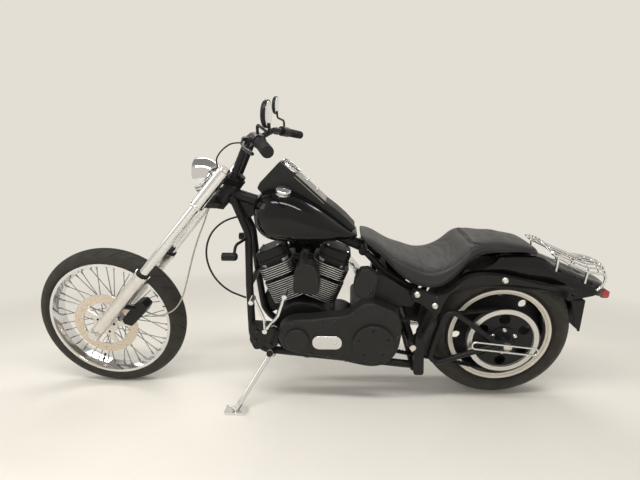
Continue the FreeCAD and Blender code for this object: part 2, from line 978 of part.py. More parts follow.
def backbone_tube(extra=0.0):
    return tube(backbone_points(), backbone_radius + extra, frame_bend)


def gusset_points(extra=0.0):
    """Side outline of the web behind the steering head."""
    low = on_leg(neck_bottom + neck_web_drop, tree_offset + neck_radius * 0.6)
    return [on_stem(neck_top - tree_thickness + extra), at(backbone_mid_x + extra, 0, backbone_mid_z),
            at(downtube_x + extra, 0, downtube_knee_z + neck_radius * 2 - extra),
            at(low.x - extra, 0, low.z - extra)]


def backbone_cross(extra=0.0):
    """The cross tube at the backbone's rear end."""
    half = seat_rail_y - rail_radius + extra
    return across(backbone_rear_x, backbone_rear_z, -half, half, backbone_radius * cross_share + extra)


def frame_backbone():
    """Steering head, gusset and backbone."""
    gusset = side_plate(gusset_points(), tube_radius, -neck_gusset_half_width, neck_gusset_half_width)
    body = fused([neck_outer(), gusset, backbone_tube(), backbone_cross()])
    bore = rod(on_stem(neck_bottom - overrun), on_stem(neck_top + overrun), stem_radius + shaft_gap)
    return body.cut(bore)


def downtube_points(side):
    top = on_stem(neck_bottom + neck_radius)
    return [
        at(top.x + neck_radius, side * downtube_top_y * 0.5, top.z),
        at(downtube_x, side * downtube_top_y, downtube_knee_z),
        at(downtube_x, side * downtube_mid_y, (downtube_knee_z + downtube_foot_z) / 2),
        at(downtube_x + tube_radius * 0.5, side * cradle_y, downtube_foot_z),
        at(cradle_front_x, side * cradle_y, cradle_front_z),
        at(cradle_rear_x, side * cradle_y, cradle_rear_z),
    ]


def cradle_tubes(extra=0.0):
    return [tube(downtube_points(side), tube_radius + extra, frame_bend) for side in (-1, 1)]


def frame_cradle():
    """Two downtubes that run on as the bottom rails, with cross tubes."""
    left, right = cradle_tubes()
    cross_front = across(cradle_front_x + tube_radius, cradle_front_z, -cradle_y, cradle_y, cross_tube_radius)
    cross_rear = across(cradle_rear_x, cradle_rear_z, -upright_inner_y, upright_inner_y, cross_tube_radius)
    mount_z = (downtube_knee_z + downtube_foot_z) / 2
    mount = across(downtube_x, mount_z, -downtube_mid_y, downtube_mid_y, cross_tube_radius)
    body = fused([left, right, cross_front, cross_rear, mount])
    return cut_away(body, [neck_outer(seat_gap), gusset_pocket()])


def gusset_pocket():
    """Room for the backbone's gusset between the downtubes."""
    half = neck_gusset_half_width + seat_gap
    web = side_plate(gusset_points(neck_gusset_half_width), seat_gap, -half, half)
    return web.fuse(backbone_tube(seat_gap))


def upright_outline(extra=0.0):
    """The cast upright seen from the side: it bows ahead at the pivot."""
    half = upright_width / 2 + extra
    mid_x = (upright_top_x + upright_foot_x) / 2 - upright_bow
    mid_z = (upright_top_z + upright_foot_z) / 2
    return [
        at(upright_foot_x - half, 0, upright_foot_z - extra), at(upright_foot_x + half, 0, upright_foot_z - extra),
        at(mid_x + half * 0.9 - upright_bow * 0.5, 0, mid_z - upright_width), at(mid_x + half, 0, mid_z + upright_width),
        at(upright_top_x + half, 0, upright_top_z + extra), at(upright_top_x - half, 0, upright_top_z + extra),
        at(mid_x - half * 1.2, 0, mid_z + upright_width), at(mid_x - half * 1.5, 0, mid_z - upright_width * 0.4),
        at(upright_foot_x - half * 1.2, 0, upright_foot_z + upright_width),
    ]


def seat_rail(side, extra=0.0):
    points = [
        at(backbone_rear_x + backbone_radius * 0.5, side * (seat_rail_y - rail_radius), backbone_rear_z - backbone_radius * 0.2),
        at(seat_rail_mid_x, side * seat_rail_y, seat_rail_mid_z),
        at(seat_rail_rear_x, side * (seat_rail_y + fender_rail_radius), seat_rail_rear_z),
        at(upright_top_x - upright_width * 0.3, side * (upright_inner_y + upright_corner), upright_top_z - upright_width * 0.7),
    ]
    return tube(points, rail_radius + extra, frame_bend)


def fender_rail(side, extra=0.0):
    points = [
        at(upright_top_x, side * (upright_inner_y + upright_corner), upright_top_z - upright_width * 0.6),
        at(upright_top_x + upright_width, side * fender_rail_y, fender_rail_z - upright_width * 0.6),
        at(upright_top_x + upright_width * 4, side * fender_rail_y, fender_rail_z),
        at(fender_rail_rear_x, side * fender_rail_y, fender_rail_z - upright_width * 0.5),
    ]
    return tube(points, fender_rail_radius + extra, frame_bend)


def frame_rear():
    """Cast uprights at the pivot, the seat rails and the rails that carry the fender."""
    parts = []
    for side in (-1, 1):
        low, high = sorted((side * upright_inner_y, side * upright_outer_y))
        parts.append(side_plate(upright_outline(), upright_corner, low, high))
        parts.append(seat_rail(side))
        parts.append(fender_rail(side))
    cross = across(seat_rail_mid_x, seat_rail_mid_z, -seat_rail_y, seat_rail_y, cross_tube_radius)
    body = fused(parts + [cross])
    bolt = across(pivot_x, pivot_z, -upright_outer_y - overrun, upright_outer_y + overrun,
                  pivot_bolt_radius + shaft_gap)
    rails = cradle_tubes(seat_gap)
    rear_cross = across(cradle_rear_x, cradle_rear_z, -upright_inner_y - seat_gap, upright_inner_y + seat_gap,
                        cross_tube_radius + seat_gap)
    return cut_away(body, rails + [rear_cross, bolt, backbone_tube(seat_gap), backbone_cross(seat_gap)])


# Swingarm and rear axle

def swingarm():
    """A triangle each side, from the pivot tube to the axle plates."""
    parts = [across(pivot_x, pivot_z, -arm_plate_outer_y, arm_plate_outer_y, pivot_tube_radius)]
    for side in (-1, 1):
        upper = at(arm_upper_x, side * arm_y, arm_upper_z)
        lower = at(arm_lower_x, side * arm_y, arm_lower_z)
        tip = at(-axle_plate_length * 0.3, side * arm_y, rear_axle.z)
        middle = upper.add(lower) * 0.5
        parts.append(tube([tip, upper, middle], arm_radius, arm_elbow_radius))
        parts.append(tube([tip, lower, middle], arm_radius, arm_elbow_radius))
        low, high = sorted((side * arm_plate_inner_y, side * arm_plate_outer_y))
        web_points = [at(pivot_x - pivot_tube_radius, 0, pivot_z + pivot_tube_radius),
                      at(pivot_x, 0, pivot_z + pivot_tube_radius * 1.5),
                      at(arm_upper_x - arm_radius * 0.5, 0, arm_upper_z - arm_elbow_radius),
                      at(arm_lower_x + arm_radius * 0.5, 0, arm_lower_z + arm_elbow_radius),
                      at(pivot_x, 0, pivot_z - pivot_tube_radius * 1.5),
                      at(pivot_x - pivot_tube_radius, 0, pivot_z - pivot_tube_radius)]
        parts.append(side_plate(web_points, pivot_tube_radius * 0.5, low, high))
        plate_points = side_points([(0, 0.15), (0, 0.85), (0.75, 1), (1, 0.7), (1, 0.3), (0.75, 0)],
                                   -axle_plate_length * 0.6, axle_plate_length * 0.4,
                                   rear_axle.z - axle_plate_height / 2, rear_axle.z + axle_plate_height / 2)
        low, high = sorted((side * (arm_y - axle_plate_half_thickness), side * (arm_y + axle_plate_half_thickness)))
        parts.append(side_plate(plate_points, axle_plate_height * 0.2, low, high))
    body = fused(parts)
    pivot_bore = across(pivot_x, pivot_z, -arm_y - overrun, arm_y + overrun, pivot_bolt_radius + shaft_gap)
    axle_bore = across(0, rear_axle.z, -arm_y - overrun, arm_y + overrun, rear_axle_radius + shaft_gap)
    return body.cut(pivot_bore).cut(axle_bore)


def pivot_bolt():
    ends = upright_outer_y + seat_gap
    shaft = across(pivot_x, pivot_z, -ends, ends, pivot_bolt_radius)
    heads = [across(pivot_x, pivot_z, side * ends, side * (ends + pivot_head_length), pivot_head_radius)
             for side in (-1, 1)]
    return fused([shaft] + heads)


def rear_axle_bolt():
    face = arm_y + axle_plate_half_thickness + seat_gap
    shaft = across(0, rear_axle.z, -face, face, rear_axle_radius)
    nuts = [across(0, rear_axle.z, side * face, side * (face + axle_nut_length), axle_nut_radius)
            for side in (-1, 1)]
    spacer_left = ring(at(0, -arm_y + axle_plate_half_thickness + seat_gap, rear_axle.z),
                       at(0, -belt_inner_face - belt_width - seat_gap * 2, rear_axle.z),
                       axle_nut_radius, rear_axle_radius * 0.9)
    spacer_right = ring(at(0, arm_y - axle_plate_half_thickness - seat_gap, rear_axle.z),
                        at(0, rear_disc_offset + rear_disc_thickness / 2 + seat_gap * 2, rear_axle.z),
                        axle_nut_radius, rear_axle_radius * 0.9)
    return fused([shaft] + nuts + [spacer_left, spacer_right])


def rear_caliper():
    """The right-hand caliper, carried on a torque arm from the axle."""
    half = rear_disc_thickness * 1.4
    outer_face = arm_y - arm_radius - seat_gap
    x = -rear_disc_radius * 0.72
    z = rear_axle.z + rear_disc_radius * 0.72
    points = side_points([(0.1, 0), (0, 0.5), (0.25, 1), (0.9, 0.9), (1, 0.4), (0.8, 0)],
                         x - overrun, x + overrun, z - overrun * 0.8, z + overrun * 0.8)
    body = side_plate(points, overrun * 0.25, rear_disc_offset - half * 2.2, outer_face)
    slot = across(0, rear_axle.z, rear_disc_offset - half, rear_disc_offset + half, rear_disc_radius + half)
    body = body.cut(slot)
    outer_y = rear_disc_offset + half
    arm_points = [at(x + overrun * 0.4, 0, z), at(x + overrun * 0.9, 0, z + overrun * 0.2),
                  at(axle_nut_radius, 0, rear_axle.z + axle_nut_radius * 1.4),
                  at(axle_nut_radius, 0, rear_axle.z - axle_nut_radius * 1.4),
                  at(-axle_nut_radius, 0, rear_axle.z - axle_nut_radius * 1.4)]
    arm = side_plate(arm_points, overrun * 0.2, outer_y, outer_face)
    hole = across(0, rear_axle.z, 0, arm_y, axle_nut_radius + seat_gap)
    return fused([body, arm]).cut(hole)


# Engine

def engine_axis(side):
    """side -1 is the front cylinder, 1 the rear."""
    angle = math.radians(vee_half_angle) * side
    return Vec(math.sin(angle), 0, math.cos(angle))


def crank():
    return at(crank_x, 0, crank_z)


def stack_plate(side, start, end, length, width, corner):
    """A rounded block square to a cylinder's axis, between two distances from the crank."""
    half_l = length / 2
    half_w = width / 2
    points = [at(-half_l, -half_w, 0), at(half_l, -half_w, 0), at(half_l, half_w, 0), at(-half_l, half_w, 0)]
    block = rounded_face(points, corner).extrude(Vec(0, 0, end - start))
    axis = engine_axis(side)
    cross = Vec(axis.z, 0, -axis.x)
    return placed(block, crank().add(axis * start), cross, axis)


def own_side(shape, side):
    """Keeps what lies on one side of the plane between the cylinders."""
    reach = rocker_end * 2
    if side < 0:
        box = blocked(crank_x - vee_gap, crank_x + reach, -reach, reach, 0, crank_z + reach)
    else:
        box = blocked(crank_x - reach, crank_x + vee_gap, -reach, reach, 0, crank_z + reach)
    return shape.cut(box)


def fin_stack(side, start, end, core, length, width, corner):
    fins = []
    count = int((end - start) / fin_pitch)
    for index in range(count):
        low = start + fin_pitch * (index + 0.5)
        fins.append(stack_plate(side, low, low + fin_thickness, length, width, corner))
    return gathered(core, fins)


def cylinder(side):
    axis = engine_axis(side)
    start = crank().add(axis * (barrel_start))
    end = crank().add(axis * (barrel_end - seat_gap))
    core = rod(start, end, barrel_radius)
    return own_side(fin_stack(side, barrel_start + fin_pitch, barrel_end - fin_pitch * 0.5, core,
                              fin_length, fin_width, fin_corner), side)


def head(side):
    """Cylinder head with its own fins and the rocker box on top."""
    core = stack_plate(side, barrel_end, head_end, head_core_length, head_core_width, fin_corner * 0.6)
    finned = fin_stack(side, barrel_end, head_end - fin_pitch, core, head_fin_length, head_fin_width, fin_corner)
    box = stack_plate(side, head_end, rocker_end, rocker_length, rocker_width, rocker_corner)
    box = softened(box, rocker_corner * 0.5, lambda edge: edge_is_far(edge, side))
    ledge = stack_plate(side, head_end, head_end + fin_pitch, rocker_length + fin_pitch, rocker_width + fin_pitch,
                        rocker_corner)
    body = own_side(fused([finned, box, ledge]), side)
    return cut_away(body, [intake_branch(seat_gap), exhaust_pocket(side)])


def edge_is_far(edge, side):
    """Picks the edges at the outer end of a rocker box."""
    axis = engine_axis(side)
    heights = [v.Point.sub(crank()).dot(axis) for v in edge.Vertexes]
    return all(abs(height - rocker_end) < seat_gap for height in heights)


def cam_cover(extra=0.0):
    return across(crank_x, crank_z + cam_cover_rise, case_half_width - case_corner,
                  case_half_width + cam_cover_depth + extra, cam_cover_radius + extra)


def crankcase():
    """Round case under the cylinders, its nose towards the gearbox, and the cam cover on the right."""
    main = across(crank_x, crank_z, -case_half_width, case_half_width, case_radius)
    nose = across(case_nose_x, case_nose_z, -case_half_width, case_half_width, case_nose_radius)
    deck_points = [at(crank_x - case_radius * 0.75, 0, crank_z), at(crank_x + case_radius * 0.75, 0, crank_z),
                   at(case_nose_x, 0, case_nose_z + case_nose_radius * 0.9),
                   at(case_nose_x + case_nose_radius * 0.8, 0, case_nose_z),
                   at(case_nose_x, 0, case_nose_z - case_nose_radius),
                   at(crank_x, 0, crank_z - case_radius)]
    deck = side_plate(deck_points, case_corner, -case_half_width, case_half_width)
    main = softened(main, case_corner, lambda edge: abs(abs(edge.CenterOfMass.y) - case_half_width) < seat_gap)
    body = fused([main, nose, deck])
    cam = cam_cover()
    cam = softened(cam, cam_cover_corner,
                   lambda edge: abs(edge.CenterOfMass.y - case_half_width - cam_cover_depth) < seat_gap)
    boss = across(crank_x, crank_z, primary_inner_y + seat_gap, -case_half_width + case_corner * 2, primary_boss_radius)
    body = fused([body, cam, boss])
    for side in (-1, 1):
        axis = engine_axis(side)
        start = crank().add(axis * (barrel_start - seat_gap))
        body = body.cut(rod(start, start.add(axis * case_radius), case_radius))
    limit = gearbox_front_x - seat_gap
    return body.cut(blocked(limit, limit + case_radius * 2, -case_radius, case_radius, 0, crank_z + case_radius))


def transmission():
    """Gearbox behind the engine, with the sprocket that drives the belt."""
    box = blocked(gearbox_front_x, gearbox_rear_x, gearbox_left_y, gearbox_right_y, gearbox_bottom_z, gearbox_top_z)
    box = softened(box, gearbox_corner, lambda edge: abs(edge.Vertexes[0].Y - edge.Vertexes[-1].Y) > gearbox_corner)
    outer = -belt_inner_face - belt_width
    shaft = across(-sprocket_ahead, sprocket_height, outer, gearbox_left_y + gearbox_corner, rear_axle_radius * 2)
    sprocket = across(-sprocket_ahead, sprocket_height, outer, -belt_inner_face, sprocket_radius)
    body = fused([box, shaft, sprocket])
    room = across(pivot_x, pivot_z, -arm_y, arm_y, pivot_tube_radius + seat_gap * 2)
    return body.cut(room)


def pushrod_tubes():
    """Four chrome tubes on the right, from the cam cover up to the heads."""
    parts = []
    for side in (-1, 1):
        axis = engine_axis(side)
        for swing in (0.25, 1.0):
            foot_angle = math.radians(vee_half_angle * side * (0.4 + 0.9 * swing))
            foot_out = cam_cover_radius - pushrod_radius
            foot = at(crank_x + math.sin(foot_angle) * foot_out, pushrod_inner_y,
                      crank_z + cam_cover_rise + math.cos(foot_angle) * foot_out)
            cross = Vec(axis.z, 0, -axis.x) * (side * (swing - 0.6) * pushrod_spread)
            top_point = crank().add(axis * (head_end - pushrod_radius)).add(cross)
            top = at(top_point.x, pushrod_top_y, top_point.z)
            parts.append(rod(foot, top, pushrod_radius).cut(cam_cover(seat_gap)))
    return parts


def intake_branch(extra=0.0):
    z = crank_z + intake_height
    reach = intake_branch_half + extra
    return rod(at(crank_x - reach, 0, z), at(crank_x + reach, 0, z), intake_radius * 0.8 + extra)


def air_cleaner():
    """Round filter housing on the right, with its manifold in the vee."""
    z = crank_z + intake_height
    body = across(crank_x, z, air_cleaner_inner_y, air_cleaner_inner_y + air_cleaner_depth, air_cleaner_radius)
    outer = air_cleaner_inner_y + air_cleaner_depth
    body = softened(body, air_cleaner_corner, lambda edge: abs(edge.CenterOfMass.y - outer) < seat_gap)
    throat = across(crank_x, z, horn_inner_y + seat_gap, air_cleaner_inner_y + air_cleaner_corner, intake_radius)
    return fused([body, throat, intake_branch()])


# Primary case on the left

primary_shares = [
    (0.0, 0.40), (0.02, 0.62), (0.10, 0.71), (0.26, 0.74), (0.44, 0.78), (0.58, 0.83), (0.68, 0.97),
    (0.76, 1.0), (0.87, 0.93), (0.97, 0.84), (1.0, 0.72), (1.0, 0.42), (0.97, 0.22), (0.90, 0.07),
    (0.80, 0.0), (0.70, 0.01), (0.55, 0.07), (0.32, 0.15), (0.12, 0.21), (0.03, 0.28),
]


def primary_cover():
    points = side_points(primary_shares, primary_front_x, primary_rear_x, primary_bottom_z, primary_top_z)
    body = curved_side(points, primary_outer_y, primary_inner_y)
    body = softened(body, primary_bevel, lambda edge: abs(edge.CenterOfMass.y - primary_outer_y) < seat_gap)
    boss = across(compensator_x, compensator_z, primary_outer_y - compensator_depth, primary_outer_y + primary_bevel,
                  compensator_radius)
    boss = softened(boss, compensator_depth * 0.6,
                    lambda edge: abs(edge.CenterOfMass.y - primary_outer_y + compensator_depth) < seat_gap)
    pad = across(derby_x, derby_z, primary_outer_y - seat_gap, primary_outer_y + primary_bevel * 2,
                 derby_radius + derby_rim)
    return fused([body, boss, pad.common(body)])


def derby_cover():
    face = primary_outer_y - seat_gap
    disc = across(derby_x, derby_z, face - derby_depth, face, derby_radius)
    return softened(disc, derby_depth * 0.5, lambda edge: abs(edge.CenterOfMass.y - face + derby_depth) < seat_gap)


def inspection_cover():
    """Oval cover with rounded ends."""
    half = window_height / 2
    run = window_length / 2 - half
    face = primary_outer_y - seat_gap
    points = [at(window_x - run - half, 0, window_z - half), at(window_x + run + half, 0, window_z - half),
              at(window_x + run + half, 0, window_z + half), at(window_x - run - half, 0, window_z + half)]
    oval = side_plate(points, half, face - window_depth, face)
    return softened(oval, window_depth * 0.4, lambda edge: abs(edge.CenterOfMass.y - face + window_depth) < seat_gap)


# Exhaust

def exhaust_points(side):
    """The run of one pipe, from its port to the start of its muffler."""
    port = crank().add(engine_axis(side) * ((barrel_end + head_end) / 2))
    out = Vec(math.cos(math.radians(vee_half_angle)), 0, -math.sin(math.radians(vee_half_angle)))
    face = port.add(Vec(side * out.x, 0, out.z) * (head_core_length / 2 - pipe_wall))
    bend = pipe_bend
    if side < 0:
        z = lower_muffler_z
        return [at(face.x, exhaust_port_y, face.z),
                at(face.x - bend * 0.1, exhaust_port_y + bend * 1.1, face.z - bend * 0.5),
                at(face.x + bend * 0.9, muffler_y - bend * 0.3, face.z - bend * 1.6),
                at(face.x + bend * 1.9, muffler_y, (face.z + z) / 2 - bend * 0.4),
                at(face.x + bend * 2.9, muffler_y, z),
                at(lower_muffler_start_x + bend, muffler_y, z)]
    z = upper_muffler_z
    return [at(face.x, exhaust_port_y, face.z),
            at(face.x + bend * 0.3, exhaust_port_y + bend * 1.1, face.z - bend * 0.2),
            at(face.x + bend * 0.9, muffler_y, face.z - bend * 1.3),
            at(face.x + bend * 1.6, muffler_y, z + bend * 0.8),
            at(face.x + bend * 2.6, muffler_y, z),
            at(upper_muffler_start_x + bend, muffler_y, z)]


def exhaust_pocket(side):
    """Room in the head for the end of the pipe."""
    points = exhaust_points(side)
    start = points[0].sub(unit(points[1].sub(points[0])) * pipe_wall)
    return rod(start, points[1], pipe_radius + seat_gap)


def exhaust():
    """Two staggered pipes with slash-cut ends, both open."""
    parts = []
    for cylinder_side, start_x, end_x, z in ((-1, lower_muffler_start_x, lower_muffler_end_x, lower_muffler_z),
                                             (1, upper_muffler_start_x, upper_muffler_end_x, upper_muffler_z)):
        y = muffler_y
        pipe = tube(exhaust_points(cylinder_side), pipe_radius, pipe_bend)
        cone = Part.makeCone(pipe_radius, muffler_radius, pipe_bend, at(start_x - pipe_bend * 0.5, y, z), Vec(1, 0, 0))
        can = rod(at(start_x + pipe_bend * 0.5, y, z), at(end_x, y, z), muffler_radius)
        hollow = rod(at(start_x + pipe_bend * 2, y, z), at(end_x + overrun, y, z), muffler_radius - pipe_wall)
        slash_points = [at(end_x - slash_run, 0, z + muffler_radius + seat_gap),
                        at(end_x + overrun, 0, z + muffler_radius * 2),
                        at(end_x + overrun, 0, z - muffler_radius * 2), at(end_x + seat_gap, 0, z - muffler_radius)]
        slash = side_plate(slash_points, seat_gap, y - muffler_radius * 2, y + muffler_radius * 2)
        parts.append(fused([pipe, cone, can]).cut(hollow).cut(slash))
    return parts


# Tank, console, caps and seat

tank_section_shares = [
    (0.0, 0.34, 0.70, 0.42), (0.03, 0.20, 0.84, 0.64), (0.11, 0.07, 0.96, 0.84), (0.23, 0.02, 1.0, 0.97),
    (0.38, 0.0, 0.95, 1.0), (0.56, 0.0, 0.77, 0.93), (0.74, 0.01, 0.53, 0.76), (0.90, 0.03, 0.28, 0.54),
    (1.0, 0.07, 0.14, 0.34),
]


def ring_section(x, bottom, top, half_width, roundness):
    """One closed cross-section: a rounded box."""
    points = []
    steps = 20
    middle = (bottom + top) / 2
    rise = (top - bottom) / 2
    for index in range(steps):
        angle = 2 * math.pi * (index + 0.5) / steps
        c = math.cos(angle)
        s = math.sin(angle)
        y = half_width * math.copysign(abs(c) ** roundness, c)
        z = middle + rise * math.copysign(abs(s) ** roundness, s)
        points.append(at(x, y, z))
    curve = Part.BSplineCurve()
    curve.interpolate(points, True)
    return Part.Wire([curve.toShape()])


def tank_body(extra=0.0):
    wires = []
    for along, bottom, top, width in tank_section_shares:
        x = tank_front_x + (tank_rear_x - tank_front_x) * along
        wires.append(ring_section(x, tank_bottom_z + tank_height * bottom - extra, tank_bottom_z + tank_height * top + extra,
                                  tank_half_width * width + extra, 0.72))
    return Part.makeLoft(wires, True, False)


def tank_tunnel(wall=0.0):
    """The slot in which the backbone lies."""
    reach = tank_tunnel_half_width + wall
    rise = tank_tunnel_rise + wall
    points = [at(tank_front_x - overrun, 0, backbone_mid_z + tank_tunnel_half_width * 0.5 + rise),
              at(backbone_mid_x, 0, backbone_mid_z + rise), at(tank_rear_x + overrun, 0, backbone_rear_z + rise),
              at(tank_rear_x + overrun, 0, tank_bottom_z - overrun), at(tank_front_x - overrun, 0, tank_bottom_z - overrun)]
    return side_plate(points, tank_tunnel_half_width * 0.3, -reach, reach)


def fuel_tank():
    """An empty tank: its sheet wall round the outside and over the slot."""
    hollow = keep_largest(tank_body(-tank_wall).cut(tank_tunnel(tank_wall)))
    return keep_largest(tank_body().cut(tank_tunnel()).cut(hollow))


console_shares = [
    (0.0, 0.62), (0.03, 0.70), (0.24, 1.0), (0.42, 0.78), (0.68, 0.43), (0.78, 0.32), (0.88, 0.19), (1.0, 0.0),
    (0.9, 0.0), (0.7, 0.12), (0.4, 0.4), (0.1, 0.45),
]


def console_body(extra=0.0):
    points = side_points(console_shares, console_front_x, console_rear_x, console_bottom_z, console_top_z)
    half = console_half_width + extra
    return side_plate(points, console_corner, -half, half)


def dial_frame():
    """Centre and normal of the slope that carries the dial."""
    front, rear = side_points([console_shares[2], console_shares[3]], console_front_x, console_rear_x,
                              console_bottom_z, console_top_z)
    run = unit(rear.sub(front))
    normal = Vec(-run.z, 0, run.x)
    return front.add(rear) * 0.5, normal


def console():
    body = console_body()
    body = softened(body, console_corner * 0.6,
                    lambda edge: abs(abs(edge.CenterOfMass.y) - console_half_width) < seat_gap
                    and edge.BoundBox.ZMax > console_bottom_z + (console_top_z - console_bottom_z) * 0.5)
    body = body.cut(tank_body(seat_gap))
    return keep_largest(body.cut(tank_tunnel()))


def keep_largest(shape):
    return max(shape.Solids, key=lambda solid: solid.Volume)


def speedometer():
    centre, normal = dial_frame()
    start = centre.add(normal * seat_gap)
    disc = Part.makeCylinder(dial_radius, dial_height, start, normal)
    return disc.makeFillet(dial_height * 0.4, [edge for edge in disc.Edges if edge.CenterOfMass.sub(start).dot(normal)
                                              > dial_height * 0.9])


def tank_top_at(x, y):
    """Height of the tank's skin above a point."""
    probe = rod(at(x, y, tank_bottom_z), at(x, y, tank_bottom_z + tank_height * 2), seat_gap)
    return probe.common(tank_body()).BoundBox.ZMax


def fuel_caps():
    """The filler cap on the left and the gauge that matches it on the right."""
    caps = []
    for side in (-1, 1):
        top = tank_top_at(cap_x, side * cap_y)
        normal = unit(Vec(0, side * math.sin(lean), math.cos(lean)))
        base = at(cap_x, side * cap_y, top).sub(normal * cap_neck)
        cap = Part.makeCylinder(cap_radius, cap_neck + cap_height, base, normal)
        cap = cap.makeFillet(cap_height * 0.4, [edge for edge in cap.Edges
                                                if edge.CenterOfMass.sub(base).dot(normal) > cap_neck + cap_height * 0.9])
        caps.append(cap.cut(tank_body(seat_gap)))
    return [keep_largest(cap) for cap in caps]


seat_section_shares = [
    (0.0, 0.92, 1.07, 0.42), (0.05, 0.78, 1.02, 0.56), (0.14, 0.48, 0.80, 0.74), (0.22, 0.20, 0.63, 0.90),
    (0.31, 0.02, 0.50, 0.98), (0.38, 0.0, 0.46, 1.0), (0.46, 0.10, 0.55, 0.96), (0.53, 0.36, 0.76, 0.90),
    (0.585, 0.56, 0.94, 0.83), (0.64, 0.66, 0.97, 0.76), (0.72, 0.68, 0.95, 0.69), (0.84, 0.68, 0.90, 0.64),
    (0.92, 0.63, 0.84, 0.60), (0.97, 0.56, 0.74, 0.50), (1.0, 0.50, 0.62, 0.36),
]


def seat():
    """Two-up seat: a nose on the tank, a deep bucket, a step and the pillion pad."""
    wires = []
    for along, bottom, top, width in seat_section_shares:
        x = seat_nose_x + (seat_tail_x - seat_nose_x) * along
        wires.append(ring_section(x, seat_low_z + seat_rise * bottom, seat_low_z + seat_rise * top,
                                  seat_half_width * width, 0.5))
    body = Part.makeLoft(wires, True, False)
    tools = [tank_body(seat_gap), console_body(seat_gap), fender_outer(seat_gap), backbone_tube(seat_gap)]
    for side in (-1, 1):
        tools.append(seat_rail(side, seat_gap))
        tools.append(fender_rail(side, seat_gap))
    return keep_largest(cut_away(body, tools + [backbone_cross(seat_gap)] + strut_solids(seat_gap)))


# Rear fender, struts, rack, lamp and plate bracket

fender_path_shares = [(0.0, -0.45), (0.12, -0.20), (0.25, -0.06), (0.38, -0.01), (0.47, -0.03), (0.574, -0.10),
                      (0.674, -0.26), (0.775, -0.45), (0.875, -0.63), (0.955, -0.76), (1.0, -0.90)]


def fender_section(x, top, floor_z, inset):
    """One upright cross-section: flat sides, rounded shoulders and a gently crowned top."""
    half = fender_half_width - inset
    top = top - inset
    corner = fender_crown - inset
    shoulder = top - fender_camber
    side_top = top - corner
    bend = math.sin(math.pi / 4)
    left_mid = at(x, -half + corner * (1 - bend), side_top + (shoulder - side_top) * bend)
    low_left = at(x, -half, floor_z)
    up_left = at(x, -half, side_top)
    in_left = at(x, -half + corner, shoulder)
    low_right, up_right, in_right, right_mid = [at(p.x, -p.y, p.z) for p in (low_left, up_left, in_left, left_mid)]
    return Part.Wire([
        Part.LineSegment(low_left, up_left).toShape(),
        Part.Arc(up_left, left_mid, in_left).toShape(),
        Part.Arc(in_left, at(x, 0, top), in_right).toShape(),
        Part.Arc(in_right, right_mid, up_right).toShape(),
        Part.LineSegment(up_right, low_right).toShape(),
        Part.LineSegment(low_right, low_left).toShape(),
    ])


def fender_block(inset, ahead=0.0, below=0.0):
    """The closed block that the fender's skin wraps."""
    length = fender_tail_x - inset - fender_front_x
    floor_z = fender_top_z - fender_depth * fender_skirt_share - below
    sections = []
    for u, w in fender_path_shares:
        sections.append(fender_section(fender_front_x + length * u - ahead, fender_top_z + fender_depth * w, floor_z, inset))
    return Part.makeLoft(sections, True, False).cut(fender_corners(inset))


def fender_corners(inset):
    """What the tail's round plan leaves off the block."""
    centre_x = fender_tail_x - fender_tail_radius
    reach = fender_half_width + overrun * 4
    high = fender_top_z + overrun * 4
    low = fender_top_z - fender_depth * 3
    block = blocked(centre_x, fender_tail_x + overrun * 4, -reach, reach, low, high)
    return block.cut(rod(at(centre_x, 0, low - overrun), at(centre_x, 0, high + overrun), fender_tail_radius - inset))


def fender_outer(extra=0.0):
    return fender_block(-extra)


def fender_inner(extra=0.0):
    return fender_block(fender_wall + extra, 0, overrun)


def rear_fender():
    """A deep-skirted fender, open below and in front, cut up towards its tail."""
    shell = fender_block(0).cut(fender_inner()).cut(fender_block(fender_wall, overrun, overrun))
    floor_z = fender_top_z - fender_depth * fender_skirt_share
    tail_cut = [at(fender_tail_x - fender_depth * 1.3, 0, floor_z - overrun),
                at(fender_tail_x - fender_depth * 1.3, 0, floor_z),
                at(fender_tail_x - fender_depth * 0.55, 0, fender_top_z - fender_depth * 1.02),
                at(fender_tail_x - fender_depth * 0.2, 0, fender_top_z - fender_depth * 1.16),
                at(fender_tail_x + overrun, 0, fender_top_z - fender_depth * 1.2),
                at(fender_tail_x + overrun, 0, floor_z - overrun)]
    below = side_plate(tail_cut, fender_wall, -fender_half_width - overrun, fender_half_width + overrun)
    return keep_largest(shell.cut(below))


strut_shares = [
    (0.0, 0.46), (0.03, 0.58), (0.10, 0.50), (0.16, 0.45), (0.22, 0.52), (0.29, 0.76), (0.33, 0.88), (0.39, 0.96),
    (0.48, 0.98), (0.55, 0.95), (0.72, 0.80), (0.90, 0.68), (1.0, 0.56), (1.0, 0.34), (0.92, 0.30), (0.80, 0.36),
    (0.66, 0.46), (0.54, 0.52), (0.42, 0.46), (0.36, 0.42), (0.28, 0.26), (0.20, 0.03), (0.13, 0.03), (0.06, 0.24),
]


def strut_solids(extra=0.0):
    points = side_points(strut_shares, strut_front_x, strut_rear_x, strut_bottom_z, strut_top_z)
    left = curved_side(points, -strut_outer_y - extra, -strut_inner_y + extra)
    return [left, mirrored(left)]


def fender_struts():
    """The two shaped strut plates, each with its open hole."""
    struts = []
    for solid in strut_solids():
        hole = across(strut_hole_x, strut_hole_z, -strut_outer_y - overrun, strut_outer_y + overrun, strut_hole_radius)
        tools = [hole, upright_block(seat_gap)]
        for side in (-1, 1):
            tools.append(seat_rail(side, seat_gap))
            tools.append(fender_rail(side, seat_gap))
        struts.append(keep_largest(cut_away(solid, tools)))
    return struts


def upright_block(extra):
    parts = []
    for side in (-1, 1):
        low, high = sorted((side * (upright_inner_y - extra), side * (upright_outer_y + extra)))
        parts.append(side_plate(upright_outline(extra), upright_corner, low, high))
    return Part.makeCompound(parts)


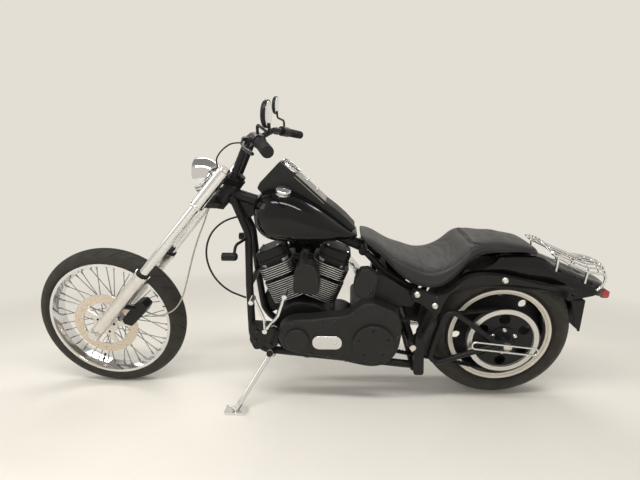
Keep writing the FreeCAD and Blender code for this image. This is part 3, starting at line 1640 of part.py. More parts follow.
def rack_rail(y):
    """One wire's corners. The outer wires start further forward and end sooner."""
    share = (y / rack_half_width) ** 2
    front = rack_front_x - rack_front_bow * share
    tail = rack_tail_x - rack_tail_bow * share
    return [at(front, y, rack_front_z), at(front + rack_rise * 0.8, y, rack_front_z - rack_rise),
            at(tail - rack_curl, y, rack_tail_z), at(tail, y, rack_foot_z)]


def luggage_rack():
    """A wire rack over the tail: wires that stand up at its front and end on the fender, with bars below them."""
    spots = [-rack_half_width + 2 * rack_half_width * index / (rack_wire_count - 1) for index in range(rack_wire_count)]
    parts = [tube(rack_rail(y), rack_wire_radius, rack_bend) for y in spots]
    for share in rack_bar_shares:
        bar = []
        for y in spots:
            start, end = rack_rail(y)[1:3]
            bar.append(start.add(end.sub(start) * share).sub(Vec(0, 0, rack_wire_radius)))
        parts.append(tube(bar, rack_wire_radius * 0.8, rack_wire_radius * 3))
    for side in (-1, 1):
        foot = rack_rail(side * rack_half_width)[1]
        parts.append(rod(foot, at(foot.x, side * (fender_half_width + rack_wire_radius), foot.z - rack_foot_drop),
                         rack_wire_radius))
    return keep_largest(fused(parts).cut(fender_outer(seat_gap)))


def tail_lamp():
    """A slim lamp under the end of the fender."""
    points = [at(lamp_x, 0, lamp_z), at(lamp_x + lamp_depth, 0, lamp_z + lamp_depth * 0.3),
              at(lamp_x + lamp_depth, 0, lamp_z - lamp_height), at(lamp_x, 0, lamp_z - lamp_height)]
    body = side_plate(points, lamp_depth * 0.25, -lamp_length / 2, lamp_length / 2)
    return keep_largest(body.cut(fender_outer(seat_gap)))


def plate_bracket():
    """Folded bracket under the tail: two triangular cheeks and the face that a plate bolts to."""
    rear_x = bracket_x + bracket_depth
    bottom = bracket_top_z - bracket_drop
    cheek = [at(bracket_x, 0, bracket_top_z), at(rear_x, 0, bracket_top_z), at(rear_x, 0, bottom),
             at(rear_x - bracket_sheet * 3, 0, bottom)]
    parts = []
    for side in (-1, 1):
        low, high = sorted((side * bracket_half_width, side * (bracket_half_width - bracket_sheet)))
        parts.append(side_plate(cheek, bracket_sheet * 0.5, low, high))
    parts.append(blocked(rear_x - bracket_sheet, rear_x, -bracket_half_width, bracket_half_width, bottom, bracket_top_z))
    parts.append(blocked(bracket_x + bracket_sheet, rear_x, -bracket_half_width, bracket_half_width,
                         bracket_top_z - bracket_sheet, bracket_top_z))
    strap_x = bracket_x + bracket_depth * 0.8
    strap = blocked(strap_x, strap_x + bracket_sheet, -bracket_half_width * 0.4, bracket_half_width * 0.4,
                    bracket_top_z - bracket_sheet, fender_top_z)
    parts.append(strap.common(fender_inner(seat_gap)))
    body = fused(parts)
    holes = [rod(at(rear_x - overrun, side * plate_hole_spacing / 2, bracket_top_z - plate_hole_drop),
                 at(rear_x + overrun, side * plate_hole_spacing / 2, bracket_top_z - plate_hole_drop), plate_hole_radius)
             for side in (-1, 1)]
    return cut_away(body, holes)


# Covers between the tubes

def horn_cover():
    """A cover with a domed top, hung between the cylinders."""
    half = horn_width / 2
    foot = horn_z - horn_height / 2
    points = side_points([(0.06, 0.04), (0.5, 0.0), (0.94, 0.04), (1.0, 0.45), (0.95, 0.74), (0.76, 0.95), (0.5, 1.0),
                          (0.24, 0.95), (0.05, 0.74), (0.0, 0.45)], horn_x - half, horn_x + half, foot, foot + horn_height)
    body = curved_side(points, horn_outer_y, horn_inner_y)
    return softened(body, rocker_corner * 0.25, lambda edge: abs(edge.CenterOfMass.y - horn_outer_y) < seat_gap)


def coil_cover():
    points = side_points([(0.25, 0.0), (0.0, 0.30), (0.06, 0.62), (0.30, 0.98), (0.62, 1.0), (1.0, 0.78), (0.98, 0.5),
                          (0.62, 0.02)], coil_x - coil_width / 2, coil_x + coil_width / 2,
                         coil_z - coil_height / 2, coil_z + coil_height / 2)
    body = side_plate(points, coil_width * 0.12, coil_outer_y, coil_inner_y)
    return softened(body, coil_width * 0.08, lambda edge: abs(edge.CenterOfMass.y - coil_outer_y) < seat_gap)


def oil_tank():
    """A saddle-shaped tank whose sides show below the seat."""
    points = side_points([(0.0, 0.25), (0.06, 1.0), (0.24, 0.93), (0.9, 0.42), (1.0, 0.27), (0.9, 0.0), (0.14, 0.08)],
                         oil_tank_front_x, oil_tank_rear_x, oil_tank_bottom_z, oil_tank_top_z)
    body = side_plate(points, coil_width * 0.1, -oil_tank_half_width, oil_tank_half_width)
    rise = oil_tank_top_z - oil_tank_bottom_z
    notch_points = [at(oil_tank_front_x - overrun, 0, oil_tank_top_z + overrun),
                    at(oil_tank_rear_x + overrun, 0, oil_tank_top_z + overrun),
                    at(oil_tank_rear_x + overrun, 0, oil_tank_bottom_z - rise * 0.1),
                    at(oil_tank_front_x - overrun, 0, oil_tank_bottom_z + rise * 0.62)]
    notch = side_plate(notch_points, seat_gap, -seat_rail_y, seat_rail_y)
    tools = [notch, backbone_tube(seat_gap)]
    for side in (-1, 1):
        tools.append(seat_rail(side, seat_gap))
    return keep_largest(cut_away(body, tools + strut_solids(seat_gap)))


# Foot controls

def peg(x, z, y_inner, side):
    """A rubber peg on its collar, pointing straight out."""
    collar = across(x, z, side * y_inner, side * (y_inner + peg_collar_length), peg_collar_radius)
    body = across(x, z, side * (y_inner + peg_collar_length), side * (y_inner + peg_collar_length + peg_length), peg_radius)
    return fused([collar, body])


def control_bracket(side):
    points = side_points([(0.0, 0.38), (0.04, 0.80), (0.12, 1.0), (0.70, 0.97), (1.0, 0.80), (1.0, 0.20), (0.72, 0.0),
                          (0.50, 0.14), (0.28, 0.0), (0.14, 0.02)],
                         control_front_x, control_rear_x, control_bottom_z, control_top_z)
    low, high = sorted((side * control_inner_y, side * (control_inner_y + control_thickness)))
    return side_plate(points, control_corner * 0.5, low, high)


def foot_controls():
    """Forward brackets with the rider's pegs, and the pegs further back on the left."""
    parts = []
    for side in (-1, 1):
        bracket = control_bracket(side)
        foot = peg(peg_x, peg_z, control_inner_y + control_thickness - peg_collar_length * 0.5, side)
        parts.append(cut_away(fused([bracket, foot]), cradle_tubes(seat_gap)))
    return parts


def foot_levers():
    """Heel and toe shifter on the left, brake pedal on the right."""
    levers = []
    for side in (-1, 1):
        y = side * shift_y
        pivot = at(shift_pivot_x, y, shift_pivot_z)
        knuckle = at(shift_knuckle_x, y, shift_knuckle_z)
        toe = at(toe_x, y, toe_z)
        heel = at(heel_x, y, heel_z)
        bracket_face = side * (control_inner_y + control_thickness + seat_gap)
        base = at(shift_pivot_x, bracket_face, control_top_z - control_corner)
        parts = [rod(at(base.x, bracket_face, base.z), at(base.x, y + side * lever_arm_radius * 1.5, base.z), lever_arm_radius * 1.6),
                 tube([at(base.x, y, base.z), pivot, toe], lever_arm_radius, pipe_radius),
                 rod(toe, toe.add(Vec(0, side * shift_peg_length, 0)), lever_arm_radius * 1.5)]
        if side < 0:
            parts.append(tube([at(base.x, y, base.z), knuckle, heel], lever_arm_radius, pipe_radius))
            parts.append(rod(heel, heel.add(Vec(0, side * shift_peg_length, 0)), lever_arm_radius * 1.5))
        levers.append(fused(parts))
    return levers


def passenger_pegs():
    """Passenger pegs, folded up against the frame."""
    pegs = []
    for side in (-1, 1):
        face = side * (upright_outer_y + seat_gap)
        mount = across(passenger_x - upright_bow, passenger_z - passenger_peg_radius * 5, face,
                       face + side * peg_collar_length * 1.6, peg_collar_radius)
        y = face + side * (peg_collar_length + passenger_peg_radius)
        start = at(passenger_x - upright_bow, y, passenger_z - passenger_peg_radius * 5)
        tip = start.add(unit(Vec(upright_bow * 1.6, side * peg_collar_length, passenger_peg_length)) * passenger_peg_length)
        pegs.append(fused([mount, rod(start, tip, passenger_peg_radius)]))
    return pegs


def turn_signals():
    """Bullet signals: the front pair on the downtubes, the rear pair on the struts."""
    parts = []
    for side in (-1, 1):
        y = side * signal_y
        nose = at(signal_x - signal_length / 2, y, signal_z)
        tail = at(signal_x + signal_length / 2, y, signal_z)
        bullet = rod(nose, tail, signal_radius)
        bullet = softened(bullet, signal_radius * 0.7,
                          lambda edge: abs(edge.CenterOfMass.x - tail.x) < seat_gap)
        hook = at(downtube_x - tube_radius * 0.5, side * (downtube_top_y + tube_radius), downtube_knee_z - tube_radius)
        stalk = tube([at(signal_x + signal_length * 0.25, y, signal_z),
                      at(signal_x + signal_length * 0.45, y, signal_z + signal_radius * 3), hook],
                     signal_stalk_radius, signal_radius)
        parts.append(cut_away(fused([bullet, stalk]), cradle_tubes(seat_gap)))
        face = side * (strut_outer_y + seat_gap)
        parts.append(across(rear_signal_x, rear_signal_z, face, face + side * rear_signal_length, rear_signal_radius))
    return parts


def belt_guard_loop():
    """Chrome wire loop outside the left axle plate, on two short posts."""
    y = -loop_y
    front_z = loop_centre_z + loop_fall
    rear_z = loop_centre_z - loop_fall
    corners = [at(loop_front_x, y, front_z + loop_half_height), at(loop_rear_x, y, rear_z + loop_half_height),
               at(loop_rear_x, y, rear_z - loop_half_height), at(loop_front_x, y, front_z - loop_half_height)]
    loop = closed_tube(corners, loop_wire_radius, loop_half_height * 0.85)
    face = -arm_y - axle_plate_half_thickness - seat_gap
    posts = []
    for share, height in ((loop_post_front_share, loop_half_height), (loop_post_rear_share, -loop_half_height)):
        x = loop_front_x + (loop_rear_x - loop_front_x) * share
        z = front_z + (rear_z - front_z) * share + height
        posts.append(rod(at(x, y, z), at(x, face, z), loop_wire_radius * 1.3))
    return fused([loop] + posts)


# Front end

def triple_trees():
    """Two clamps, the stem between them, and the risers that carry the bar."""
    parts = []
    for along in (lower_tree_along, upper_tree_along):
        low = along - tree_thickness / 2
        inner = fork_sleeve_radius * 0.7
        points = [(-inner, leg_y), (tree_front_edge, leg_y * 0.5), (tree_front_edge, -leg_y * 0.5), (-inner, -leg_y),
                  (inner, -leg_y), (tree_offset + stem_nut_radius * 0.4, -stem_nut_radius * 2),
                  (tree_offset + stem_nut_radius * 1.6, 0), (tree_offset + stem_nut_radius * 0.4, stem_nut_radius * 2),
                  (inner, leg_y)]
        outline = [on_leg(low, behind, y) for behind, y in points]
        plate = rounded_face(outline, tree_corner).extrude(leg_up * tree_thickness)
        parts.append(plate)
    parts.append(rod(on_stem(lower_tree_along), on_stem(upper_tree_along), stem_radius))
    parts.append(rod(on_stem(upper_tree_along), on_stem(upper_tree_along + tree_thickness / 2 + stem_nut_height),
                     stem_nut_radius))
    body = fused(parts + risers())
    tools = [rod(on_leg(0, 0, side * leg_y), on_leg(fork_sleeve_end * 2, 0, side * leg_y), fork_sleeve_radius + seat_gap)
             for side in (-1, 1)]
    tools.append(bar_tube(seat_gap))
    return cut_away(body, tools)


def risers():
    parts = []
    for side in (-1, 1):
        y = side * riser_spacing / 2
        base = on_leg(upper_tree_along, tree_offset - riser_setback, y)
        top = at(bar_centre_x, y, bar_centre_z)
        parts.append(rod(base, top, riser_radius))
        parts.append(across(bar_centre_x, bar_centre_z, y - bar_clamp_width / 2, y + bar_clamp_width / 2, bar_clamp_radius))
    return parts


def bar_points():
    left = [at(bar_end_x, -bar_end_y, bar_end_z), at(bar_hand_x, -bar_hand_y, bar_hand_z),
            at(bar_centre_x, -bar_straight, bar_centre_z)]
    right = [at(p.x, -p.y, p.z) for p in reversed(left)]
    return left + right


def bar_tube(extra=0.0):
    return tube(bar_points(), bar_radius + extra, bar_bend)


def handlebar():
    return bar_tube()


def hand_direction(side):
    return unit(at(bar_end_x, side * bar_end_y, bar_end_z).sub(at(bar_hand_x, side * bar_hand_y, bar_hand_z)))


def grips():
    parts = []
    for side in (-1, 1):
        end = at(bar_end_x, side * bar_end_y, bar_end_z)
        out = hand_direction(side)
        tip = end.add(out * grip_flange_length)
        start = end.sub(out * grip_length)
        body = fused([rod(start, tip, grip_radius), rod(start, start.add(out * grip_flange_length), grip_flange_radius),
                      rod(tip.sub(out * grip_flange_length), tip, grip_radius * 1.04)])
        parts.append(body.cut(bar_tube(seat_gap)))
    return parts


def control_station(side, share):
    """A point on the straight hand part of the bar, inboard of the grip."""
    end = at(bar_end_x, side * bar_end_y, bar_end_z)
    return end.sub(hand_direction(side) * (grip_length + seat_gap + switch_length * share))


def hand_controls():
    """Switch housings, lever perches and levers."""
    parts = []
    for side in (-1, 1):
        out = hand_direction(side)
        start = control_station(side, 1.0)
        housing = rod(start, control_station(side, 0.0), switch_radius)
        ahead = unit(Vec(-1, 0, 0).sub(out * Vec(-1, 0, 0).dot(out)))
        perch_start = control_station(side, 0.75)
        perch = perch_start.add(ahead * lever_ahead * 0.62)
        lever_mid = perch.add(ahead * lever_ahead * 0.38).add(out * lever_length * 0.45)
        lever_end = perch.add(ahead * lever_ahead * 0.1).add(out * lever_length)
        lever = tube([perch, lever_mid, lever_end], lever_radius, lever_length)
        knuckle = rod(perch.sub(out * perch_radius), perch.add(out * perch_radius), perch_radius * 1.2)
        bar = rod(start.sub(out * grip_length), control_station(side, -2.0), bar_radius + seat_gap)
        neck = rod(perch_start.add(ahead * (bar_radius + switch_radius) * 0.5), perch, perch_radius)
        parts.append(housing.cut(bar).fuse(neck).fuse(knuckle).fuse(lever))
    return parts


def mirrors():
    """Oval mirrors on short stems."""
    parts = []
    for side in (-1, 1):
        base = control_station(side, 0.5).add(Vec(0, 0, switch_radius + mirror_stem_radius * 0.2))
        back, rise = (mirror_left_back, mirror_left_rise) if side < 0 else (mirror_right_back, mirror_right_rise)
        centre = at(bar_centre_x + back, side * mirror_centre_y, bar_centre_z + rise)
        neck = centre.sub(Vec(0, 0, mirror_half_height))
        stem = tube([base, base.add(Vec(0, 0, mirror_rise * 0.3)), neck.sub(Vec(0, 0, mirror_depth)), neck.add(Vec(0, 0, mirror_depth))],
                    mirror_stem_radius, mirror_rise * 0.2)
        oval = Part.Ellipse(Vec(0, 0, 0), mirror_half_width, mirror_half_height).toShape()
        shell = Part.Face(Part.Wire([oval])).extrude(Vec(0, 0, mirror_depth))
        shell = softened(shell, mirror_depth * 0.6, lambda edge: edge.CenterOfMass.z > mirror_depth * 0.5)
        face_dir = Vec(-1, 0, 0.08)
        shell = placed(shell, centre, Vec(0, 1, 0), face_dir)
        parts.append(fused([stem, shell]))
    return parts


def fork_tubes():
    """Polished tubes that slide in the lower legs, with sleeves up through the clamps."""
    parts = []
    for side in (-1, 1):
        y = side * leg_y
        tube_part = rod(on_leg(fork_tube_bottom, 0, y), on_leg(fork_sleeve_end, 0, y), fork_tube_radius)
        sleeve = rod(on_leg(fork_sleeve_start, 0, y), on_leg(fork_sleeve_end, 0, y), fork_sleeve_radius)
        cap = rod(on_leg(fork_sleeve_end, 0, y), on_leg(fork_sleeve_end + fork_cap_height, 0, y), fork_cap_radius)
        parts.append(fused([tube_part, sleeve, cap]))
    return parts


def fork_sliders():
    """Lower legs, bored for the tubes, with axle bosses and seals."""
    parts = []
    for side in (-1, 1):
        y = side * leg_y
        leg = rod(on_leg(-slider_foot, 0, y), on_leg(slider_top, 0, y), slider_radius)
        collar = rod(on_leg(slider_top - slider_collar_height, 0, y), on_leg(slider_top, 0, y), slider_collar_radius)
        boss = across(front_axle.x, front_axle.z, y - slider_boss_half_width, y + slider_boss_half_width, slider_boss_radius)
        tools = [rod(on_leg(fork_tube_bottom - seat_gap, 0, y), on_leg(slider_top + overrun, 0, y), fork_tube_radius + shaft_gap),
                 across(front_axle.x, front_axle.z, y - overrun, y + overrun, front_axle_radius + shaft_gap)]
        parts.append(cut_away(fused([leg, collar, boss]), tools))
    return parts


def front_axle_bolt():
    face = leg_y + slider_boss_half_width + seat_gap
    shaft = across(front_axle.x, front_axle.z, -face, face, front_axle_radius)
    nuts = [across(front_axle.x, front_axle.z, side * face, side * (face + axle_nut_length * 0.6), axle_nut_radius)
            for side in (-1, 1)]
    inner = leg_y - slider_boss_half_width - seat_gap
    spacer = ring(at(front_axle.x, front_hub_half_width + seat_gap * 2, front_axle.z), at(front_axle.x, inner, front_axle.z),
                  axle_nut_radius, front_axle_radius * 0.9)
    spacer_left = ring(at(front_axle.x, -front_disc_offset - disc_carrier_thickness - seat_gap, front_axle.z),
                       at(front_axle.x, -inner, front_axle.z), axle_nut_radius, front_axle_radius * 0.9)
    return fused([shaft] + nuts + [spacer, spacer_left])


def front_caliper():
    """A caliper behind the left leg, straddling the disc, with its lug to the slider."""
    y = -front_disc_offset
    centre = on_leg(caliper_along, caliper_behind, y)
    half_l = caliper_length / 2
    half_h = caliper_height / 2
    low = y - caliper_half_width
    outline = []
    for u, w in ((-1, -0.4), (-0.8, -1), (0.7, -1), (1, -0.3), (0.9, 0.8), (0.4, 1), (-0.8, 0.8)):
        point = centre.add(leg_up * (u * half_l)).add(leg_back * (w * half_h))
        outline.append(at(point.x, low, point.z))
    body = rounded_face(outline, half_h * 0.4).extrude(Vec(0, caliper_half_width * 2, 0))
    slot = across(front_axle.x, front_axle.z, y - caliper_slot / 2 - front_disc_thickness / 2,
                  y + caliper_slot / 2 + front_disc_thickness / 2, front_disc_radius + caliper_slot)
    lug_start = on_leg(caliper_along + half_l * 0.3, 0, -leg_y)
    lug_end = on_leg(caliper_along + half_l * 0.3, caliper_behind - half_h * 0.4, low + half_h * 0.3)
    lug = rod(lug_start, lug_end, half_h * 0.35)
    leg = rod(on_leg(-slider_foot, 0, -leg_y), on_leg(slider_top, 0, -leg_y), slider_radius + seat_gap)
    body = fused([body, lug]).cut(slot).cut(leg)
    return keep_largest(body)


# Headlight

def headlight_axis():
    dip = math.radians(headlight_dip)
    return Vec(-math.cos(dip), 0, -math.sin(dip))


def headlight():
    """A bullet bowl with its ring, hung from the upper clamp."""
    front = at(headlight_centre_x, 0, headlight_centre_z)
    back = headlight_axis() * -1

    def spun(radius, depth):
        edges = []
        start = at(0, 0, 0)
        rim_point = at(radius, 0, 0)
        ring_end = at(radius, 0, headlight_ring_width)
        far = at(0, 0, depth)
        cap = at(radius * 0.1, 0, depth)
        shoulder = at(radius * 0.78, 0, headlight_ring_width + (depth - headlight_ring_width) * 0.60)
        edges.append(Part.LineSegment(start, rim_point).toShape())
        edges.append(Part.LineSegment(rim_point, ring_end).toShape())
        edges.append(Part.Arc(ring_end, shoulder, cap).toShape())
        edges.append(Part.LineSegment(cap, far).toShape())
        edges.append(Part.LineSegment(far, start).toShape())
        return outside_out(Part.Face(Part.Wire(edges)).revolve(Vec(0, 0, 0), Vec(0, 0, 1), full_turn))

    outer = placed(spun(headlight_radius, headlight_depth), front, Vec(0, 1, 0), back)
    inner = spun(headlight_radius - headlight_wall * 2, headlight_depth - headlight_wall * 2)
    along = upper_tree_along - tree_thickness * 0.36
    stalk = rod(on_leg(along, tree_front_edge - seat_gap), on_leg(along, tree_front_edge - headlight_depth * 0.47),
                headlight_stalk_radius)
    hollow = placed(inner, front, Vec(0, 1, 0), back)
    return outer.fuse(stalk).cut(hollow)


def headlight_lens():
    front = at(headlight_centre_x, 0, headlight_centre_z)
    back = headlight_axis() * -1
    radius = headlight_radius - headlight_wall * 2 - seat_gap
    disc = Part.makeCylinder(radius, lens_thickness)
    disc.translate(Vec(0, 0, seat_gap))
    dome_radius = (radius ** 2 + lens_crown ** 2) / (2 * lens_crown)
    ball = Part.makeSphere(dome_radius, Vec(0, 0, dome_radius - lens_crown))
    cap = ball.common(Part.makeCylinder(radius, lens_crown + seat_gap, Vec(0, 0, -lens_crown)))
    lens = disc.fuse(cap).removeSplitter()
    return placed(lens, front, Vec(0, 1, 0), back)


# Cables

def cord_tube(name, points, radius):
    """A cord's tube: each arc is as large as its two runs allow."""
    edges = []
    here = points[0]
    smallest = points[0].distanceToPoint(points[-1])
    for index in range(1, len(points) - 1):
        before, corner, after = points[index - 1:index + 2]
        back = unit(before.sub(corner))
        ahead = unit(after.sub(corner))
        half = back.getAngle(ahead) / 2
        reach = 0.45 * min(before.sub(corner).Length, after.sub(corner).Length)
        bend = reach * math.tan(half)
        smallest = min(smallest, bend)
        middle = corner.add(unit(back.add(ahead)) * (bend / math.sin(half) - bend))
        start = corner.add(back * reach)
        end = corner.add(ahead * reach)
        edges.append(Part.LineSegment(here, start).toShape())
        edges.append(Part.Arc(start, middle, end).toShape())
        here = end
    edges.append(Part.LineSegment(here, points[-1]).toShape())
    path = Part.Wire(edges)
    section = Part.Wire([Part.Circle(points[0], points[1].sub(points[0]), radius).toShape()])
    solid = path.makePipeShell([section], True, False)
    share = solid.Volume / (math.pi * radius ** 2 * path.Length)
    print("cord", name, "smallest bend", round(smallest, 1), "volume share", round(share, 4))
    return solid


def brake_hose():
    """From the back of the caliper, round behind the wheel, to the underside of the lower clamp."""
    start = on_leg(caliper_along + caliper_length * 0.2, caliper_behind + caliper_height / 2 + hose_radius * 0.5,
                   -front_disc_offset - hose_radius)
    end = on_leg(lower_tree_along - tree_thickness / 2 - hose_radius * 0.5, fork_sleeve_radius * 1.2, -front_disc_offset)
    route = [(-1515, -76, 390), (-1462, -79, 402), (-1412, -80, 434), (-1377, -80, 490), (-1352, -79, 560),
             (-1328, -77, 636), (-1304, -74, 708), (-1277, -70, 776), (-1248, -66, 838)]
    return cord_tube("brake_hose", [start] + [at(*point) for point in route] + [end], hose_radius)


def clutch_cable():
    """From the top of the left downtube, in a wide bow ahead of the frame, to the foot of the same tube."""
    top, knee = downtube_points(-1)[:2]
    start = top.add(knee.sub(top) * clutch_start_share).add(at(0, -tube_radius - clutch_cable_radius * 1.1, 0))
    route = [(-1150, -52, 842), (-1196, -55, 816), (-1232, -57, 778), (-1254, -58, 730), (-1262, -59, 680),
             (-1256, -60, 630), (-1238, -62, 584), (-1208, -65, 544), (-1168, -69, 514), (-1130, -73, 500)]
    end = at(downtube_x - tube_radius - clutch_cable_radius, -downtube_mid_y, clutch_end_z)
    return cord_tube("clutch_cable", [start] + [at(*point) for point in route] + [end], clutch_cable_radius)


def control_cable():
    """From the front of the upper clamp, in a bow behind the headlight, to the left half of the bar."""
    start = on_leg(upper_tree_along, tree_front_edge - seat_gap, -control_cable_y)
    first = on_leg(upper_tree_along, tree_front_edge - control_cable_run, -control_cable_y)
    route = [(-1184, -56, 1082), (-1166, -61, 1113), (-1138, -66, 1138), (-1103, -71, 1157)]
    last = at(*route[-1])
    bar = at(bar_centre_x, -control_cable_bar_y, bar_centre_z)
    end = bar.sub(unit(bar.sub(last)) * (bar_radius + seat_gap))
    return cord_tube("control_cable", [start, first] + [at(*point) for point in route] + [end], control_cable_radius)


# Side stand

def stand_axis():
    """The hinge runs mostly across the frame rail, square to the leg both down and folded."""
    return unit(stand_folded_direction().cross(stand_leg_direction()))


def stand_folded_direction():
    """Where the leg points when it is folded back along the rail."""
    return unit(Vec(1, -stand_fold_out, -stand_fold_down))


def stand_leg_direction():
    foot_z = floor_height(stand_foot_y)
    foot = at(stand_foot_x, stand_foot_y, foot_z + stand_foot_thickness)
    return unit(foot.sub(stand_pivot()))


def stand_pivot():
    return at(stand_pivot_x, stand_pivot_y, stand_pivot_z)


def side_stand():
    """Leg, pivot eye and a foot that lies flat on the floor when the bike leans."""
    pivot = stand_pivot()
    foot_centre = at(stand_foot_x, stand_foot_y, floor_height(stand_foot_y) + stand_foot_thickness)
    leg = rod(pivot, foot_centre, stand_leg_radius)
    axis = stand_axis()
    half = stand_eye_thickness / 2
    eye = rod(pivot.sub(axis * half), pivot.add(axis * half), stand_eye_radius)
    slope = math.tan(lean)
    half_l = stand_foot_length / 2
    half_w = stand_foot_width / 2
    sole = []
    for u, v in ((-1, -1), (1, -1), (1, 1), (-1, 1)):
        y = stand_foot_y + v * half_w
        sole.append(at(stand_foot_x + u * half_l, y, floor_height(y)))
    up = Vec(0, math.sin(lean), math.cos(lean))
    pad = rounded_face(sole, half_w * 0.5).extrude(up * stand_foot_thickness)
    tang_end = foot_centre.add(Vec(-stand_tang_length * 0.45, -stand_tang_length * 0.3, stand_tang_length * 0.6))
    tang = rod(foot_centre, tang_end, stand_tang_radius)
    body = fused([leg, eye, pad, tang])
    below = []
    reach = stand_foot_length * 4
    for u, v in ((-1, -1), (1, -1), (1, 1), (-1, 1)):
        y = stand_foot_y + v * reach
        below.append(at(stand_foot_x + u * reach, y, floor_height(y)))
    ground = Part.Face(Part.makePolygon(below + [below[0]])).extrude(up * -reach)
    bore = rod(pivot.sub(axis * overrun), pivot.add(axis * overrun), stand_leg_radius * 0.7 + shaft_gap)
    return body.cut(ground).cut(bore)


def stand_bracket():
    """The lug on the left rail that holds the stand's pin."""
    pivot = stand_pivot()
    axis = stand_axis()
    half = stand_eye_thickness / 2 + seat_gap
    inner = pivot.sub(axis * half) if pivot.sub(axis).y > pivot.y else pivot.add(axis * half)
    direction = unit(inner.sub(pivot))
    plate = rod(inner, inner.add(direction * stand_bracket_thickness), stand_eye_radius)
    pin = rod(pivot.sub(direction * half), inner.add(direction * stand_bracket_thickness), stand_leg_radius * 0.7)
    head = rod(pivot.sub(direction * half), pivot.sub(direction * (half + stand_bracket_thickness * 0.4)),
               stand_leg_radius * 1.2)
    lug_mid = inner.add(direction * stand_bracket_thickness * 0.5)
    rail_start = downtube_points(-1)[4]
    rail_end = downtube_points(-1)[5]
    share = (lug_mid.x - rail_start.x) / (rail_end.x - rail_start.x)
    on_rail = rail_start.add(rail_end.sub(rail_start) * share)
    arm = rod(lug_mid, on_rail, stand_bracket_thickness * 0.5)
    body = fused([plate, pin, head, arm])
    return cut_away(body, cradle_tubes(seat_gap))


# Leaning pose and export

parts = {
    "frame_backbone": frame_backbone,
    "frame_cradle": frame_cradle,
    "frame_rear": frame_rear,
    "swingarm": swingarm,
    "pivot_bolt": pivot_bolt,
    "rear_axle": rear_axle_bolt,
    "rear_caliper": rear_caliper,
    "fender_struts": fender_struts,
    "rear_fender": rear_fender,
    "luggage_rack": luggage_rack,
    "tail_lamp": tail_lamp,
    "plate_bracket": plate_bracket,
    "fuel_tank": fuel_tank,
    "console": console,
    "speedometer": speedometer,
    "fuel_caps": fuel_caps,
    "seat": seat,
    "crankcase": crankcase,
    "cylinders": lambda: [cylinder(-1), cylinder(1)],
    "cylinder_heads": lambda: [head(-1), head(1)],
    "pushrod_tubes": pushrod_tubes,
    "air_cleaner": air_cleaner,
    "exhaust": exhaust,
    "primary_cover": primary_cover,
    "derby_cover": derby_cover,
    "inspection_cover": inspection_cover,
    "transmission": transmission,
    "drive_belt": drive_belt,
    "horn_cover": horn_cover,
    "coil_cover": coil_cover,
    "oil_tank": oil_tank,
    "foot_controls": foot_controls,
    "foot_levers": foot_levers,
    "passenger_pegs": passenger_pegs,
    "turn_signals": turn_signals,
    "belt_guard_loop": belt_guard_loop,
    "stand_bracket": stand_bracket,
    "clutch_cable": clutch_cable,
    "side_stand": side_stand,
    "triple_trees": triple_trees,
    "fork_tubes": fork_tubes,
    "fork_sliders": fork_sliders,
    "front_axle": front_axle_bolt,
    "front_caliper": front_caliper,
    "headlight": headlight,
    "headlight_lens": headlight_lens,
    "handlebar": handlebar,
    "grips": grips,
    "hand_controls": hand_controls,
    "mirrors": mirrors,
    "brake_hose": brake_hose,
    "control_cable": control_cable,
    "front_tyre": front_tyre,
    "front_rim": front_rim,
    "front_hub": front_hub,
    "front_disc": front_disc,
    "rear_tyre": rear_tyre,
    "rear_rim": rear_rim,
    "rear_pulley": rear_pulley,
    "rear_disc": rear_disc,
}


def built(maker):
    made = maker()
    if isinstance(made, list):
        return Part.makeCompound([solid for shape in made for solid in shape.Solids])
    return Part.makeCompound(made.Solids)


def leaned(shape):
    moved = shape.copy()
    moved.rotate(Vec(0, 0, 0), Vec(1, 0, 0), lean_angle)
    return moved


def main():
    os.makedirs("parts", exist_ok=True)
    shapes = {name: leaned(built(maker)) for name, maker in parts.items()}
    box = FreeCAD.BoundBox()
    for shape in shapes.values():
        box.add(shape.optimalBoundingBox(False, False))
    low_z = -floor_drop * math.cos(lean)
    shift = Vec(-box.Center.x, -box.Center.y, -low_z)
    print("origin shift", shift, "box", box)
    for name, shape in shapes.items():
        shape.translate(shift)
        shape.exportStep("parts/" + name + ".step")
        print(name, len(shape.Solids), round(shape.Volume / 1000.0, 1), shape.isValid())


main()
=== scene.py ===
import bpy
import bmesh
import math
from mathutils import Matrix, Vector
from mathutils.bvhtree import BVHTree
from mathutils.kdtree import KDTree


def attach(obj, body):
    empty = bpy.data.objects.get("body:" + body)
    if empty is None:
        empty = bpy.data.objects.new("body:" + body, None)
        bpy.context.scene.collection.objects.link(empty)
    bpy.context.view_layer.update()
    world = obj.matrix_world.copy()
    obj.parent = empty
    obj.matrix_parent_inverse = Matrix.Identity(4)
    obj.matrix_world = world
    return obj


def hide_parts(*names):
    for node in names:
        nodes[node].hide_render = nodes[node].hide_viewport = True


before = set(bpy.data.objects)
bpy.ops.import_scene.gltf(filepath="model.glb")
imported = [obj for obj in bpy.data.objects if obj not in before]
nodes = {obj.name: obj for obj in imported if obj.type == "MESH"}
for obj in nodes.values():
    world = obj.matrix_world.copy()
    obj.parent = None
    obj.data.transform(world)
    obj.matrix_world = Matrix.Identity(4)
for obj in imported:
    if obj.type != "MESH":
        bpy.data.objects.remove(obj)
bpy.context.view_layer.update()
print("frame loaded:", len(nodes), "nodes")

# The motorcycle is drawn upright, in millimetres, and then leans on its stand
stance = {"lean": 15.0, "shift": (834.5, 263.6878, 3.6119), "scale": 0.001}
scaleUp = Matrix.Scale(stance["scale"], 4)
leanOver = Matrix.Rotation(math.radians(stance["lean"]), 4, "X")
uprightToRow = scaleUp @ Matrix.Translation(Vector(stance["shift"])) @ leanOver


def rowPoint(x, y, z):
    return uprightToRow @ Vector((x, y, z))


